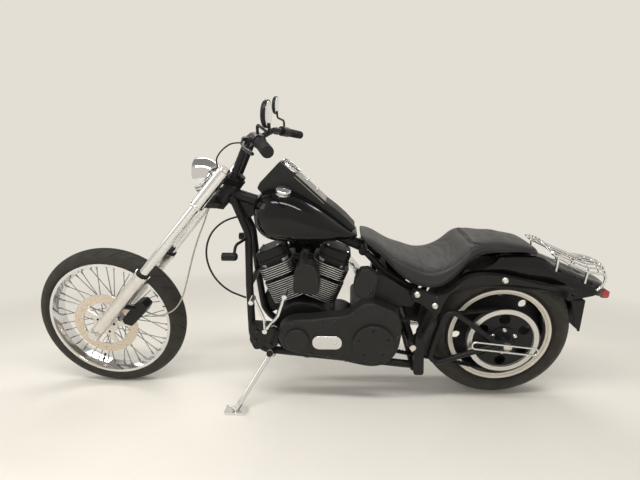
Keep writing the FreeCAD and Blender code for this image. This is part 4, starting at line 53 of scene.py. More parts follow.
def rowDirection(x, y, z):
    return (uprightToRow.to_3x3() @ Vector((x, y, z))).normalized()


def linked(name, data):
    holder = bpy.data.objects.new(name, data)
    bpy.context.scene.collection.objects.link(holder)
    return holder


def meshFrom(shape, name):
    mesh = bpy.data.meshes.new(name)
    shape.to_mesh(mesh)
    shape.free()
    return mesh


# Node helpers: a small vocabulary for the finishes below

def addNode(tree, kind, **settings):
    node = tree.nodes.new(kind)
    for key, value in settings.items():
        setattr(node, key, value)
    return node


def plug(tree, source, target):
    tree.links.new(source, target)


def mathNode(tree, operation, first, second=None):
    node = addNode(tree, "ShaderNodeMath", operation=operation)
    for index, value in enumerate((first, second)):
        if value is None:
            continue
        if isinstance(value, (int, float)):
            node.inputs[index].default_value = value
        else:
            plug(tree, value, node.inputs[index])
    return node.outputs[0]


def vectorNode(tree, operation, first, second=None):
    node = addNode(tree, "ShaderNodeVectorMath", operation=operation)
    for index, value in enumerate((first, second)):
        if value is None:
            continue
        if isinstance(value, (tuple, Vector)):
            node.inputs[index].default_value = tuple(value)
        else:
            plug(tree, value, node.inputs[index])
    return node


def rangeNode(tree, value, low, high, outLow=0.0, outHigh=1.0):
    node = addNode(tree, "ShaderNodeMapRange", clamp=True)
    plug(tree, value, node.inputs["Value"])
    node.inputs["From Min"].default_value = low
    node.inputs["From Max"].default_value = high
    node.inputs["To Min"].default_value = outLow
    node.inputs["To Max"].default_value = outHigh
    return node.outputs[0]


def colourMix(tree, factor, first, second):
    node = addNode(tree, "ShaderNodeMix", data_type="RGBA")
    plug(tree, factor, node.inputs["Factor"])
    for name, value in (("A", first), ("B", second)):
        socket = [s for s in node.inputs if s.name == name and s.type == "RGBA"][0]
        if isinstance(value, tuple):
            socket.default_value = (*value, 1.0)
        else:
            plug(tree, value, socket)
    return [s for s in node.outputs if s.type == "RGBA"][0]


def place(tree):
    return addNode(tree, "ShaderNodeTexCoord").outputs["Object"]


def noise(tree, scale, detail=3.0, vector=None):
    node = addNode(tree, "ShaderNodeTexNoise")
    node.inputs["Scale"].default_value = scale
    node.inputs["Detail"].default_value = detail
    plug(tree, vector or place(tree), node.inputs["Vector"])
    return node.outputs[0]


def bump(tree, height, distance, strength=1.0, after=None):
    node = addNode(tree, "ShaderNodeBump")
    node.inputs["Strength"].default_value = strength
    node.inputs["Distance"].default_value = distance
    plug(tree, height, node.inputs["Height"])
    if after is not None:
        plug(tree, after, node.inputs["Normal"])
    return node.outputs[0]


def shades(colour, spread):
    return (tuple(max(0.0, part * (1 - spread)) for part in colour),
            tuple(min(1.0, part * (1 + spread)) for part in colour))


def makeFinish(name, look):
    # colour: its plain colour, spread: how much it varies, patch: size of the variation in 1/m
    # rough: lowest and highest roughness, grain: fineness of the surface in 1/m, relief: its depth in metres
    material = bpy.data.materials.new(name)
    material.use_nodes = True
    tree = material.node_tree
    shader = tree.nodes["Principled BSDF"]
    dark, light = shades(look["colour"], look.get("spread", 0.08))
    patches = rangeNode(tree, noise(tree, look.get("patch", 14.0), 4.0), 0.3, 0.7)
    plug(tree, colourMix(tree, patches, dark, light), shader.inputs["Base Color"])
    smudges = rangeNode(tree, noise(tree, 30.0, 5.0), 0.3, 0.7, *look["rough"])
    plug(tree, smudges, shader.inputs["Roughness"])
    shader.inputs["Metallic"].default_value = look.get("metallic", 0.0)
    shader.inputs["Coat Weight"].default_value = look.get("coat", 0.0)
    shader.inputs["Coat Roughness"].default_value = look.get("coatRough", 0.05)
    shader.inputs["Specular IOR Level"].default_value = look.get("specular", 0.5)
    if look.get("relief"):
        plug(tree, bump(tree, noise(tree, look["grain"], 2.0), look["relief"]), shader.inputs["Normal"])
    material.diffuse_color = (*look["colour"], 1.0)
    return material, tree, shader


# Camera

photoCamera = {"place": (0.157662, -1.445340, 0.854196), "turn": 2.374, "lens": 19.64, "sensor": 36.0,
               "shift": (-0.0125, -0.0525), "nearest": 0.01}


def addCamera():
    camera = bpy.data.cameras.new("photoCamera")
    camera.lens = photoCamera["lens"]
    camera.sensor_width = photoCamera["sensor"]
    camera.shift_x, camera.shift_y = photoCamera["shift"]
    camera.clip_start = photoCamera["nearest"]
    holder = linked("photoCamera", camera)
    holder.location = photoCamera["place"]
    holder.rotation_euler = (math.radians(90.0), 0.0, math.radians(photoCamera["turn"]))
    bpy.context.scene.camera = holder


addCamera()

# Finishes

finishes = {
    "satinBlack": {"colour": (0.011, 0.011, 0.011), "rough": (0.34, 0.46), "specular": 0.22,
                   "grain": 1500.0, "relief": 0.00004},
    "glossBlack": {"colour": (0.004, 0.004, 0.004), "rough": (0.08, 0.13), "specular": 0.2,
                   "coat": 0.15, "coatRough": 0.025, "spread": 0.05},
    "wrinkleBlack": {"colour": (0.013, 0.013, 0.0125), "rough": (0.44, 0.56), "specular": 0.28,
                     "grain": 2300.0, "relief": 0.00022},
    "castBlack": {"colour": (0.009, 0.009, 0.009), "rough": (0.42, 0.55), "specular": 0.25,
                  "grain": 900.0, "relief": 0.00015},
    "chrome": {"colour": (0.72, 0.72, 0.72), "rough": (0.035, 0.09), "metallic": 1.0, "spread": 0.02},
    "satinAlloy": {"colour": (0.74, 0.72, 0.69), "rough": (0.24, 0.36), "metallic": 1.0, "spread": 0.05,
                   "grain": 3000.0, "relief": 0.00001},
    "zincSteel": {"colour": (0.72, 0.69, 0.64), "rough": (0.25, 0.42), "metallic": 1.0, "spread": 0.12},
    "darkSpoke": {"colour": (0.30, 0.30, 0.31), "rough": (0.22, 0.35), "metallic": 1.0},
    "rimSilver": {"colour": (0.70, 0.66, 0.58), "rough": (0.30, 0.42), "metallic": 0.6, "spread": 0.04},
    "tyreBlack": {"colour": (0.027, 0.0245, 0.020), "rough": (0.62, 0.80), "grain": 700.0, "relief": 0.00012,
                  "spread": 0.15, "specular": 0.35},
    "softRubber": {"colour": (0.012, 0.012, 0.012), "rough": (0.55, 0.72), "specular": 0.3,
                   "grain": 1100.0, "relief": 0.0001},
    "thread": {"colour": (0.02, 0.02, 0.02), "rough": (0.6, 0.8)},
    "redLens": {"colour": (0.32, 0.008, 0.006), "rough": (0.12, 0.2), "coat": 1.0, "coatRough": 0.04},
    "amberLens": {"colour": (0.62, 0.20, 0.02), "rough": (0.12, 0.2), "coat": 1.0, "coatRough": 0.04},
    "mirrorGlass": {"colour": (0.80, 0.82, 0.84), "rough": (0.01, 0.03), "metallic": 1.0, "spread": 0.01},
    "dialGrey": {"colour": (0.20, 0.19, 0.17), "rough": (0.45, 0.6)},
    "dialDark": {"colour": (0.03, 0.03, 0.03), "rough": (0.45, 0.6)},
    "consoleGrey": {"colour": (0.30, 0.285, 0.26), "rough": (0.5, 0.65), "metallic": 0.3,
                    "grain": 1400.0, "relief": 0.0003},
    "boltBlack": {"colour": (0.03, 0.03, 0.032), "rough": (0.30, 0.45), "metallic": 0.6},
}
materials = {name: makeFinish(name, look)[0] for name, look in finishes.items()}


def baseColour(tree, shader):
    # the socket that colours the shader so far
    return [link.from_socket for link in tree.links if link.to_socket == shader.inputs["Base Color"]][0]


def alongAxis(tree, centre, axis):
    # distance from a line and distance along it, both in metres
    offset = vectorNode(tree, "SUBTRACT", place(tree), centre).outputs["Vector"]
    away = vectorNode(tree, "LENGTH", vectorNode(tree, "CROSS_PRODUCT", offset, axis).outputs["Vector"])
    along = vectorNode(tree, "DOT_PRODUCT", offset, axis)
    return away.outputs["Value"], along.outputs["Value"]


engine = {"crank": (-845.0, 0.0, 345.0), "halfAngle": 22.5}
fins = {"core": 0.069, "reach": 0.104, "edge": 0.003, "end": 0.001, "face": (0.15, 0.30),
        "bright": (0.62, 0.62, 0.63), "barrels": (0.138, 0.266), "heads": (0.264, 0.330)}


def cylinderAxes():
    half = math.radians(engine["halfAngle"])
    return [rowDirection(side * math.sin(half), 0, math.cos(half)) for side in (-1, 1)]


def makeFinMaterial(name, first, last):
    # black enamel with the outer edges of the fins machined bright, between two distances from the crank
    material, tree, shader = makeFinish(name, finishes["castBlack"])
    normal = addNode(tree, "ShaderNodeNewGeometry").outputs["Normal"]
    total = None
    for axis in cylinderAxes():
        away, along = alongAxis(tree, rowPoint(*engine["crank"]), axis)
        flat = mathNode(tree, "ABSOLUTE", vectorNode(tree, "DOT_PRODUCT", normal, axis).outputs["Value"])
        mask = rangeNode(tree, flat, *fins["face"], 1.0, 0.0)
        for value, start, width, outLow, outHigh in (
                (away, fins["core"], fins["edge"], 0.0, 1.0), (away, fins["reach"], fins["edge"], 1.0, 0.0),
                (along, first, fins["end"], 0.0, 1.0), (along, last, fins["end"], 1.0, 0.0)):
            limit = rangeNode(tree, value, start, start + width, outLow, outHigh)
            mask = mathNode(tree, "MULTIPLY", mask, limit)
        total = mask if total is None else mathNode(tree, "MAXIMUM", total, mask)
    bright = colourMix(tree, total, baseColour(tree, shader), fins["bright"])
    plug(tree, bright, shader.inputs["Base Color"])
    plug(tree, total, shader.inputs["Metallic"])
    return material


materials["finBarrels"] = makeFinMaterial("finBarrels", *fins["barrels"])
materials["finHeads"] = makeFinMaterial("finHeads", *fins["heads"])

# Upright x and z of the two axles
wheelPlaces = {"front": (-1760.0, 340.88), "rear": (0.0, 326.0)}
turning = {"lines": 9000.0, "depth": 0.00001, "blend": 0.0006}


def makeTurnedMaterial(name, look, centre, steps, outside=None):
    # metal turned on a lathe: fine rings about the axle, with a colour for each step of radius in metres,
    # and the steps only beyond a distance from the middle plane if outside gives one
    material, tree, shader = makeFinish(name, look)
    away, along = alongAxis(tree, rowPoint(centre[0], 0.0, centre[1]), rowDirection(0, 1, 0))
    colour = baseColour(tree, shader)
    metal = None
    for low, high, tint, metallic in steps:
        inside = mathNode(tree, "MULTIPLY", rangeNode(tree, away, low, low + turning["blend"]),
                          rangeNode(tree, away, high, high + turning["blend"], 1.0, 0.0))
        if outside is not None:
            distance = mathNode(tree, "ABSOLUTE", along)
            beyond = rangeNode(tree, distance, outside, outside + turning["blend"])
            inside = mathNode(tree, "MULTIPLY", inside, beyond)
        colour = colourMix(tree, inside, colour, tint)
        if metallic is not None:
            metal = mathNode(tree, "MULTIPLY", inside, metallic)
    plug(tree, colour, shader.inputs["Base Color"])
    if metal is not None:
        plug(tree, metal, shader.inputs["Metallic"])
    rings = addNode(tree, "ShaderNodeCombineXYZ")
    plug(tree, mathNode(tree, "MULTIPLY", away, turning["lines"]), rings.inputs[0])
    plug(tree, bump(tree, noise(tree, 1.0, 1.0, rings.outputs[0]), turning["depth"]), shader.inputs["Normal"])
    return material


# Discs, rim and pulley: wheel, plain finish, steps of (from, to, colour, how metallic), and side distance
turned = {
    "frontDiscSteel": ("front", "zincSteel", [(0.104, 0.150, (0.68, 0.60, 0.50), None),
                                              (0.0, 0.1035, (0.72, 0.70, 0.66), None)], None),
    "rearDiscSteel": ("rear", "zincSteel", [(0.100, 0.150, (0.46, 0.37, 0.29), None)], None),
    "rearRimPaint": ("rear", "satinBlack", [(0.199, 0.2178, (0.74, 0.70, 0.62), 1.0)], 0.045),
    "pulleyMetal": ("rear", "satinBlack", [(0.127, 0.150, (0.70, 0.69, 0.66), 1.0)], None),
}
for name, (wheel, plain, steps, outside) in turned.items():
    materials[name] = makeTurnedMaterial(name, finishes[plain], wheelPlaces[wheel], steps, outside)


def makeGlass(name, look):
    material = bpy.data.materials.new(name)
    material.use_nodes = True
    tree = material.node_tree
    shader = tree.nodes["Principled BSDF"]
    shader.inputs["Base Color"].default_value = (*look["colour"], 1.0)
    shader.inputs["Transmission Weight"].default_value = look["clear"]
    shader.inputs["IOR"].default_value = look["ior"]
    plug(tree, rangeNode(tree, noise(tree, 60.0), 0.3, 0.7, *look["rough"]), shader.inputs["Roughness"])
    return material


glassLook = {"colour": (0.96, 0.98, 0.99), "clear": 1.0, "ior": 1.45, "rough": (0.0, 0.03)}
materials["lampGlass"] = makeGlass("lampGlass", glassLook)
print("finishes made:", len(materials))

# Which pieces of the frame wear each finish
wearers = {
    "satinBlack": ["frame_backbone", "frame_cradle", "frame_rear", "swingarm", "rear_caliper",
                   "fender_struts", "plate_bracket", "oil_tank", "foot_controls", "turn_signals",
                   "stand_bracket", "triple_trees", "front_caliper", "handlebar", "hand_controls",
                   "mirrors"],
    "zincSteel": ["pivot_bolt", "rear_axle"],
    "glossBlack": ["rear_fender", "fuel_tank"],
    "chrome": ["luggage_rack", "speedometer", "fuel_caps", "pushrod_tubes", "exhaust",
               "inspection_cover", "foot_levers", "belt_guard_loop", "side_stand", "fork_tubes",
               "front_axle", "headlight", "front_rim"],
    "redLens": ["tail_lamp"],
    "wrinkleBlack": ["console", "air_cleaner", "primary_cover", "derby_cover", "horn_cover",
                     "coil_cover"],
    "softRubber": ["seat", "drive_belt", "passenger_pegs", "clutch_cable", "grips", "brake_hose",
                   "control_cable"],
    "castBlack": ["crankcase", "transmission"],
    "finBarrels": ["cylinders"],
    "finHeads": ["cylinder_heads"],
    "satinAlloy": ["fork_sliders"],
    "lampGlass": ["headlight_lens"],
    "tyreBlack": ["front_tyre", "rear_tyre"],
    "darkSpoke": ["front_hub"],
    "frontDiscSteel": ["front_disc"],
    "rearRimPaint": ["rear_rim"],
    "pulleyMetal": ["rear_pulley"],
    "rearDiscSteel": ["rear_disc"],
}
for finish, names in wearers.items():
    for name in names:
        nodes[name].data.materials.clear()
        nodes[name].data.materials.append(materials[finish])
print("finishes given to the frame")

# Shaping helpers

uprightFromRow = uprightToRow.inverted()


def smoothStep(low, high, value):
    share = min(1.0, max(0.0, (value - low) / (high - low)))
    return share * share * (3.0 - 2.0 * share)


def evaluatedMesh(piece):
    depsgraph = bpy.context.evaluated_depsgraph_get()
    return bpy.data.meshes.new_from_object(piece.evaluated_get(depsgraph), depsgraph=depsgraph)


def newPiece(name, mesh, finish, body):
    piece = linked(name, mesh)
    if finish is not None:
        mesh.materials.clear()
        mesh.materials.append(materials[finish])
    if body is not None:
        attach(piece, body)
    return piece


def shadeSmooth(mesh, smooth=True):
    mesh.polygons.foreach_set("use_smooth", [smooth] * len(mesh.polygons))


def joined(name, meshes):
    shape = bmesh.new()
    for mesh in meshes:
        shape.from_mesh(mesh)
        bpy.data.meshes.remove(mesh)
    return meshFrom(shape, name)


def skin(shape, rings):
    # faces from each closed ring to the next, and from the last to the first
    for index, ring in enumerate(rings):
        after = rings[(index + 1) % len(rings)]
        for row in range(len(ring)):
            other = (row + 1) % len(ring)
            shape.faces.new((ring[row], ring[other], after[other], after[row]))
    bmesh.ops.recalc_face_normals(shape, faces=shape.faces)


def wheelPoint(centre, radius, across, angle):
    return rowPoint(centre[0] + radius * math.cos(angle), across, centre[1] + radius * math.sin(angle))


def mirrored(spot, side):
    return (spot[0], side * spot[1], spot[2])


def unitOf(vector):
    size = math.sqrt(sum(v * v for v in vector))
    return tuple(v / size for v in vector)


def surfaceTree(mesh):
    return BVHTree.FromPolygons([v.co for v in mesh.vertices], [p.vertices for p in mesh.polygons])


surfaces = {}


def surfaceOf(node):
    if node not in surfaces:
        surfaces[node] = surfaceTree(nodes[node].data)
    return surfaces[node]


def hitOn(node, start, heading):
    # where a line from an upright point, in millimetres, first meets a node: row point and outward normal
    heading = rowDirection(*heading)
    spot, normal, index, away = surfaceOf(node).ray_cast(rowPoint(*start), heading)
    if spot is None:
        return None, None
    return spot, normal if normal.dot(heading) < 0 else -normal


def facing(spot, axis):
    # a frame at a row point whose z looks along the axis
    return Matrix.Translation(spot) @ Vector(axis).to_track_quat("Z", "Y").to_matrix().to_4x4()


def ringStack(name, rings, sides=24, smooth=True):
    # closed shape from rings of one kind of outline each: ("round" or "hex", radius, height), in metres
    shape = bmesh.new()
    loops = []
    for kind, radius, height in rings:
        loop = []
        for index in range(sides):
            angle = 2 * math.pi * index / sides
            reach = radius
            if kind == "hex":
                reach = radius / math.cos((angle % (math.pi / 3)) - math.pi / 6)
            loop.append(shape.verts.new((reach * math.cos(angle), reach * math.sin(angle), height)))
        loops.append(loop)
    for low, high in zip(loops, loops[1:]):
        for index in range(sides):
            after = (index + 1) % sides
            shape.faces.new((low[index], low[after], high[after], high[index]))
    shape.faces.new(list(reversed(loops[0])))
    shape.faces.new(loops[-1])
    mesh = meshFrom(shape, name)
    shadeSmooth(mesh, smooth)
    return mesh


def lathe(name, profile, sides, at, smooth=True):
    # a turned shape from radii and heights in millimetres, stood in a frame
    rings = [("round", radius * stance["scale"], height * stance["scale"]) for radius, height in profile]
    mesh = ringStack(name, rings, sides, smooth)
    mesh.transform(at)
    return mesh


def boxMesh(name, size):
    # a small box in millimetres, about its middle
    shape = bmesh.new()
    bmesh.ops.create_cube(shape, size=1.0)
    mesh = meshFrom(shape, name)
    mesh.transform(Matrix.Diagonal((*[side * stance["scale"] for side in size], 1.0)))
    return mesh


# Bolt heads as rings, in shares of the head's radius. Each head sits a little way into the metal
boltHeads = {
    "socket": [("round", 1.0, 0.0), ("round", 1.0, 0.92), ("round", 0.9, 1.05), ("hex", 0.5, 1.05),
               ("hex", 0.48, 0.45)],
    "button": [("round", 1.0, 0.0), ("round", 1.0, 0.12), ("round", 0.93, 0.34), ("round", 0.72, 0.55),
               ("hex", 0.36, 0.6), ("hex", 0.34, 0.28)],
    "hex": [("round", 1.28, 0.0), ("round", 1.28, 0.16), ("hex", 1.0, 0.2), ("hex", 1.0, 0.82),
            ("round", 0.94, 0.98), ("round", 0.55, 1.0)],
    "dome": [("round", 1.0, 0.0), ("round", 1.0, 0.3), ("round", 0.86, 0.62), ("round", 0.55, 0.85),
             ("round", 0.2, 0.93)],
}
boltSink = 0.03


def bolts(name, kind, size, places, finish, body):
    # every head of one kind on one body, as one piece; places are row points with the way each head looks
    rings = [(outline, radius * size, height * size) for outline, radius, height in boltHeads[kind]]
    heads = []
    for spot, axis in places:
        head = ringStack("head", rings, 18 if kind == "dome" else 24)
        head.transform(facing(spot - Vector(axis) * size * boltSink, axis))
        heads.append(head)
    newPiece(name, joined(name, heads), finish, body)


def castPlaces(node, spots, heading):
    # seats each upright spot, in millimetres, on a node by looking along a heading
    found = []
    for spot in spots:
        place, normal = hitOn(node, spot, heading)
        if place is not None:
            found.append((place, -rowDirection(*heading)))
    return found


# Covers are looked for from this far outside the machine, in millimetres, and their edges in steps
search = {"outside": 420.0, "above": 1200.0, "step": 3.0, "limit": 400.0}
fromAbove = (0, 0, -1)


def around(centre, reach, angles):
    return [(centre[0] + reach * math.cos(math.radians(angle)),
             centre[1] + reach * math.sin(math.radians(angle)))
            for angle in angles]


def onSide(node, side, spots):
    # a node, the way to look at it from one side, and where to look from
    return node, (0, -side, 0), [(x, side * search["outside"], z) for x, z in spots]


def edgePlaces(node, side, centre, angles, inset, drop):
    # seats spots a little inside a cover's outline, found by walking outwards from its middle until the
    # cover ends or falls away by the drop, in metres
    node, heading, (start,) = onSide(node, side, [centre])
    middle, normal = hitOn(node, start, heading)
    found = []
    for angle in angles:
        reach = 0.0
        while reach < search["limit"]:
            ahead = onSide(node, side, around(centre, reach + search["step"], [angle]))[2][0]
            spot, normal = hitOn(node, ahead, heading)
            if spot is None or abs((spot - middle).dot(rowDirection(*heading))) > drop:
                break
            reach += search["step"]
        found += castPlaces(node, onSide(node, side, around(centre, reach - inset, [angle]))[2], heading)
    return found


def tubeMesh(name, line, radius, sides=8):
    curve = bpy.data.curves.new(name, "CURVE")
    curve.dimensions = "3D"
    spline = curve.splines.new("POLY")
    spline.points.add(len(line) - 1)
    for point, spot in zip(spline.points, line):
        point.co = (*spot, 1.0)
    curve.bevel_depth = radius
    curve.bevel_resolution = max(1, sides // 4)
    curve.use_fill_caps = True
    holder = linked(name, curve)
    mesh = evaluatedMesh(holder)
    bpy.data.objects.remove(holder)
    shadeSmooth(mesh)
    return mesh


def smoothLine(spots, steps=10):
    # a smooth line through given row points
    line = []
    for index in range(len(spots) - 1):
        a = spots[max(index - 1, 0)]
        b, c = spots[index], spots[index + 1]
        d = spots[min(index + 2, len(spots) - 1)]
        for step in range(steps):
            t = step / steps
            line.append(0.5 * ((2 * b) + (c - a) * t + (2 * a - 5 * b + 4 * c - d) * t * t
                               + (3 * b - a - 3 * c + d) * t ** 3))
    line.append(spots[-1])
    return line


# Cords, held at both ends by the machine

cords = {
    "brakeHose": {"node": "brake_hose", "body": "steering", "radius": 3.2, "finish": "braid",
                  "stiffness": "medium",
                  "route": [(-1560.1, -65.2, 406.0), (-1515, -76, 390), (-1462, -79, 402), (-1412, -80, 434),
                            (-1377, -80, 490), (-1352, -79, 560), (-1328, -77, 636), (-1304, -74, 708),
                            (-1277, -70, 776), (-1248, -66, 838), (-1225.5, -62, 898)]},
    "clutchCable": {"node": "clutch_cable", "body": "root", "radius": 4.0, "finish": "softRubber",
                    "stiffness": "stiff",
                    "route": [(-1109.1, -48.9, 850.4), (-1150, -52, 842), (-1196, -55, 816),
                              (-1232, -57, 778),
                              (-1254, -58, 730), (-1262, -59, 680), (-1256, -60, 630), (-1238, -62, 584),
                              (-1208, -65, 544), (-1168, -69, 514), (-1130, -73, 500), (-1097, -78, 490)]},
    "controlCable": {"node": "control_cable", "body": "steering", "radius": 3.0, "finish": "softRubber",
                     "stiffness": "stiff",
                     "route": [(-1146.4, -50, 1019.8), (-1171.7, -50, 1042.1), (-1184, -56, 1082),
                               (-1166, -61, 1113), (-1138, -66, 1138), (-1103, -71, 1157),
                               (-1067, -73.2, 1155.4)]},
}
braid = {"colour": (0.42, 0.39, 0.33), "rough": (0.35, 0.5), "metallic": 0.5, "weave": 900.0, "slant": 0.6,
         "height": 0.0002}


def makeBraid():
    # two crossing sets of strands
    material, tree, shader = makeFinish("braid", braid)
    weave = None
    for turn in (1.0, -1.0):
        wave = addNode(tree, "ShaderNodeTexWave")
        wave.inputs["Scale"].default_value = braid["weave"]
        strands = vectorNode(tree, "MULTIPLY", place(tree), (turn, 1.0, braid["slant"])).outputs["Vector"]
        plug(tree, strands, wave.inputs["Vector"])
        weave = wave.outputs[1] if weave is None else mathNode(tree, "MAXIMUM", weave, wave.outputs[1])
    plug(tree, bump(tree, weave, braid["height"]), shader.inputs["Normal"])
    return material


materials["braid"] = makeBraid()


def splineLength(piece):
    bare = piece.data.copy()
    bare.bevel_depth = 0.0
    holder = linked("measure", bare)
    mesh = evaluatedMesh(holder)
    total = sum((mesh.vertices[e.vertices[0]].co - mesh.vertices[e.vertices[1]].co).length for e in mesh.edges)
    bpy.data.objects.remove(holder)
    return total


def addCord(name, look):
    curve = bpy.data.curves.new(name, "CURVE")
    curve.dimensions = "3D"
    spline = curve.splines.new("NURBS")
    spline.points.add(len(look["route"]) - 1)
    for point, spot in zip(spline.points, look["route"]):
        point.co = (*rowPoint(*spot), 1.0)
    spline.order_u = 3
    spline.use_endpoint_u = True
    spline.resolution_u = 16
    curve.bevel_depth = look["radius"] * stance["scale"]
    curve.bevel_resolution = 4
    curve.use_fill_caps = True
    curve.materials.append(materials[look["finish"]])
    piece = linked(name, curve)
    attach(piece, look["body"])
    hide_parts(look["node"])
    length = splineLength(piece)
    print("cord", name, round(length, 3), "m")


for cordName, cordLook in cords.items():
    addCord(cordName, cordLook)

# Soft seat: the solid's own form, filled out by a cloth simulation, then sewn

seat = {
    "voxel": 0.0055, "smoothing": (0.5, 8), "shrink": 0.0035, "frames": 20, "most": 0.007,
    "underside": 0.3, "pinned": 0.12,
    "cloth": {"quality": 4, "mass": 0.4, "tension_stiffness": 18.0, "compression_stiffness": 18.0,
              "bending_stiffness": 1.5, "use_pressure": True, "uniform_pressure_force": 4.0},
    "tail": (90.0, 150.0), "tailShare": 0.66, "tailRise": 10.0,
    # the sewn lines in metres: how deep and wide the cover is drawn in, the welt's and the thread's radius
    "sewing": 0.0042, "sewingWidth": 0.007, "welt": 0.0026, "stitch": 0.0006,
    "weltLift": 0.0004, "stitchLift": 0.0003, "stitches": (0.1, 0.6), "stitchLength": 0.34,
    # seams as upright points in millimetres: x, half width, z
    "pillionSeam": [(-172, 0, 806), (-171, 50, 800), (-160, 92, 780), (-120, 116, 762), (-62, 118, 752),
                    (0, 116, 742), (60, 108, 733), (94, 94, 726), (112, 72, 718)],
    "lowerWelt": [(-596, 96, 762), (-554, 128, 712), (-483, 152, 645), (-411, 163, 600), (-345, 166, 580),
                  (-285, 163, 586), (-230, 152, 618), (-182, 138, 660), (-120, 122, 708), (-39, 112, 722),
                  (40, 108, 720), (100, 90, 708)],
}
leather = {"colour": (0.016, 0.016, 0.016), "rough": (0.30, 0.42), "spread": 0.14, "patch": 9.0,
           "specular": 0.38, "cells": 520.0, "cellDepth": 0.00022, "folds": 26.0, "foldDepth": 0.0012}


def makeLeather():
    material, tree, shader = makeFinish("seatLeather", leather)
    cells = addNode(tree, "ShaderNodeTexVoronoi", feature="DISTANCE_TO_EDGE")
    cells.inputs["Scale"].default_value = leather["cells"]
    plug(tree, place(tree), cells.inputs["Vector"])
    grain = bump(tree, rangeNode(tree, cells.outputs["Distance"], 0.0, 0.25), leather["cellDepth"], 0.8)
    folds = bump(tree, noise(tree, leather["folds"], 4.0), leather["foldDepth"], 0.35, after=grain)
    plug(tree, folds, shader.inputs["Normal"])
    return material


materials["seatLeather"] = makeLeather()


def remeshed(source, name, look):
    piece = newPiece(name, source.data.copy(), None, None)
    change = piece.modifiers.new("remesh", "REMESH")
    change.mode = "VOXEL"
    change.voxel_size = look["voxel"]
    smoothing = piece.modifiers.new("smooth", "SMOOTH")
    smoothing.factor, smoothing.iterations = look["smoothing"]
    mesh = evaluatedMesh(piece)
    piece.modifiers.clear()
    piece.data = mesh
    return piece


def bluntTail(mesh, look):
    # the tail is short and stands up
    for vertex in mesh.vertices:
        spot = uprightFromRow @ vertex.co
        start, end = look["tail"]
        if spot.x > start:
            spot.z += look["tailRise"] * smoothStep(start, end, spot.x)
            spot.x = start + (spot.x - start) * look["tailShare"]
            vertex.co = uprightToRow @ spot


def fillOut(piece, look):
    # the cover swells a little under the pressure of the foam, apart from its underside
    mesh = piece.data
    before = [v.co.copy() for v in mesh.vertices]
    inward = [v.normal * look["shrink"] for v in mesh.vertices]
    down = rowDirection(0, 0, -1)
    held = piece.vertex_groups.new(name="held")
    for vertex, step in zip(mesh.vertices, inward):
        under = vertex.normal.dot(down) > look["underside"]
        held.add([vertex.index], 1.0 if under else look["pinned"], "REPLACE")
        vertex.co = vertex.co - step
    cloth = piece.modifiers.new("cloth", "CLOTH")
    for key, value in look["cloth"].items():
        setattr(cloth.settings, key, value)
    cloth.settings.effector_weights.gravity = 0.0
    cloth.settings.vertex_group_mass = "held"
    cloth.point_cache.frame_start = 1
    cloth.point_cache.frame_end = look["frames"]
    for step in range(1, look["frames"] + 1):
        bpy.context.scene.frame_set(step)
    swollen = evaluatedMesh(piece)
    for vertex, start in zip(swollen.vertices, before):
        move = vertex.co - start
        if move.length > look["most"]:
            vertex.co = start + move.normalized() * look["most"]
    piece.modifiers.clear()
    piece.data = swollen
    bpy.context.scene.frame_set(1)


def seamLine(points, side):
    return smoothLine([rowPoint(x, side * y, z) for x, y, z in points])


def onSurface(tree, line, lift):
    # lays a line on a surface
    laid = []
    for spot in line:
        found, normal, index, away = tree.find_nearest(spot)
        laid.append(found + normal * lift)
    return laid


def sewGroove(mesh, lines, look):
    # presses each sewn line into the cover
    dots = [spot for line in lines for spot in line]
    near = KDTree(len(dots))
    for index, spot in enumerate(dots):
        near.insert(spot, index)
    near.balance()
    moves = []
    for vertex in mesh.vertices:
        spot, index, away = near.find(vertex.co)
        moves.append(vertex.normal * (look["sewing"] * math.exp(-(away / look["sewingWidth"]) ** 2)))
    for vertex, move in zip(mesh.vertices, moves):
        vertex.co = vertex.co - move


def addSeat():
    cover = remeshed(nodes["seat"], "seatCover", seat)
    fillOut(cover, seat)
    bluntTail(cover.data, seat)
    sewn = [seamLine(seat["pillionSeam"], side) for side in (-1, 1)]
    tree = surfaceTree(cover.data)
    sewGroove(cover.data, [onSurface(tree, line, 0.0) for line in sewn], seat)
    shadeSmooth(cover.data)
    finer = cover.modifiers.new("finer", "SUBSURF")
    finer.levels = finer.render_levels = 1
    cover.data = evaluatedMesh(cover)
    cover.modifiers.clear()
    cover.data.materials.clear()
    cover.data.materials.append(materials["seatLeather"])
    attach(cover, "root")
    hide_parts("seat")
    tree = surfaceTree(cover.data)
    welts = []
    for side in (-1, 1):
        laid = onSurface(tree, seamLine(seat["lowerWelt"], side), seat["weltLift"])
        welts.append(tubeMesh("welt", laid, seat["welt"]))
    newPiece("seatWelt", joined("seatWelt", welts), "seatLeather", "root")
    stitches = []
    for line in sewn:
        laid = onSurface(tree, line, seat["stitchLift"])
        for start, end in zip(laid, laid[1:]):
            for share in seat["stitches"]:
                thread = [start.lerp(end, share), start.lerp(end, share + seat["stitchLength"])]
                stitches.append(tubeMesh("stitch", thread, seat["stitch"], 4))
    newPiece("seatStitches", joined("seatStitches", stitches), "thread", "root")
    print("seat made:", len(cover.data.polygons), "faces")


addSeat()

# Tyres with their real tread

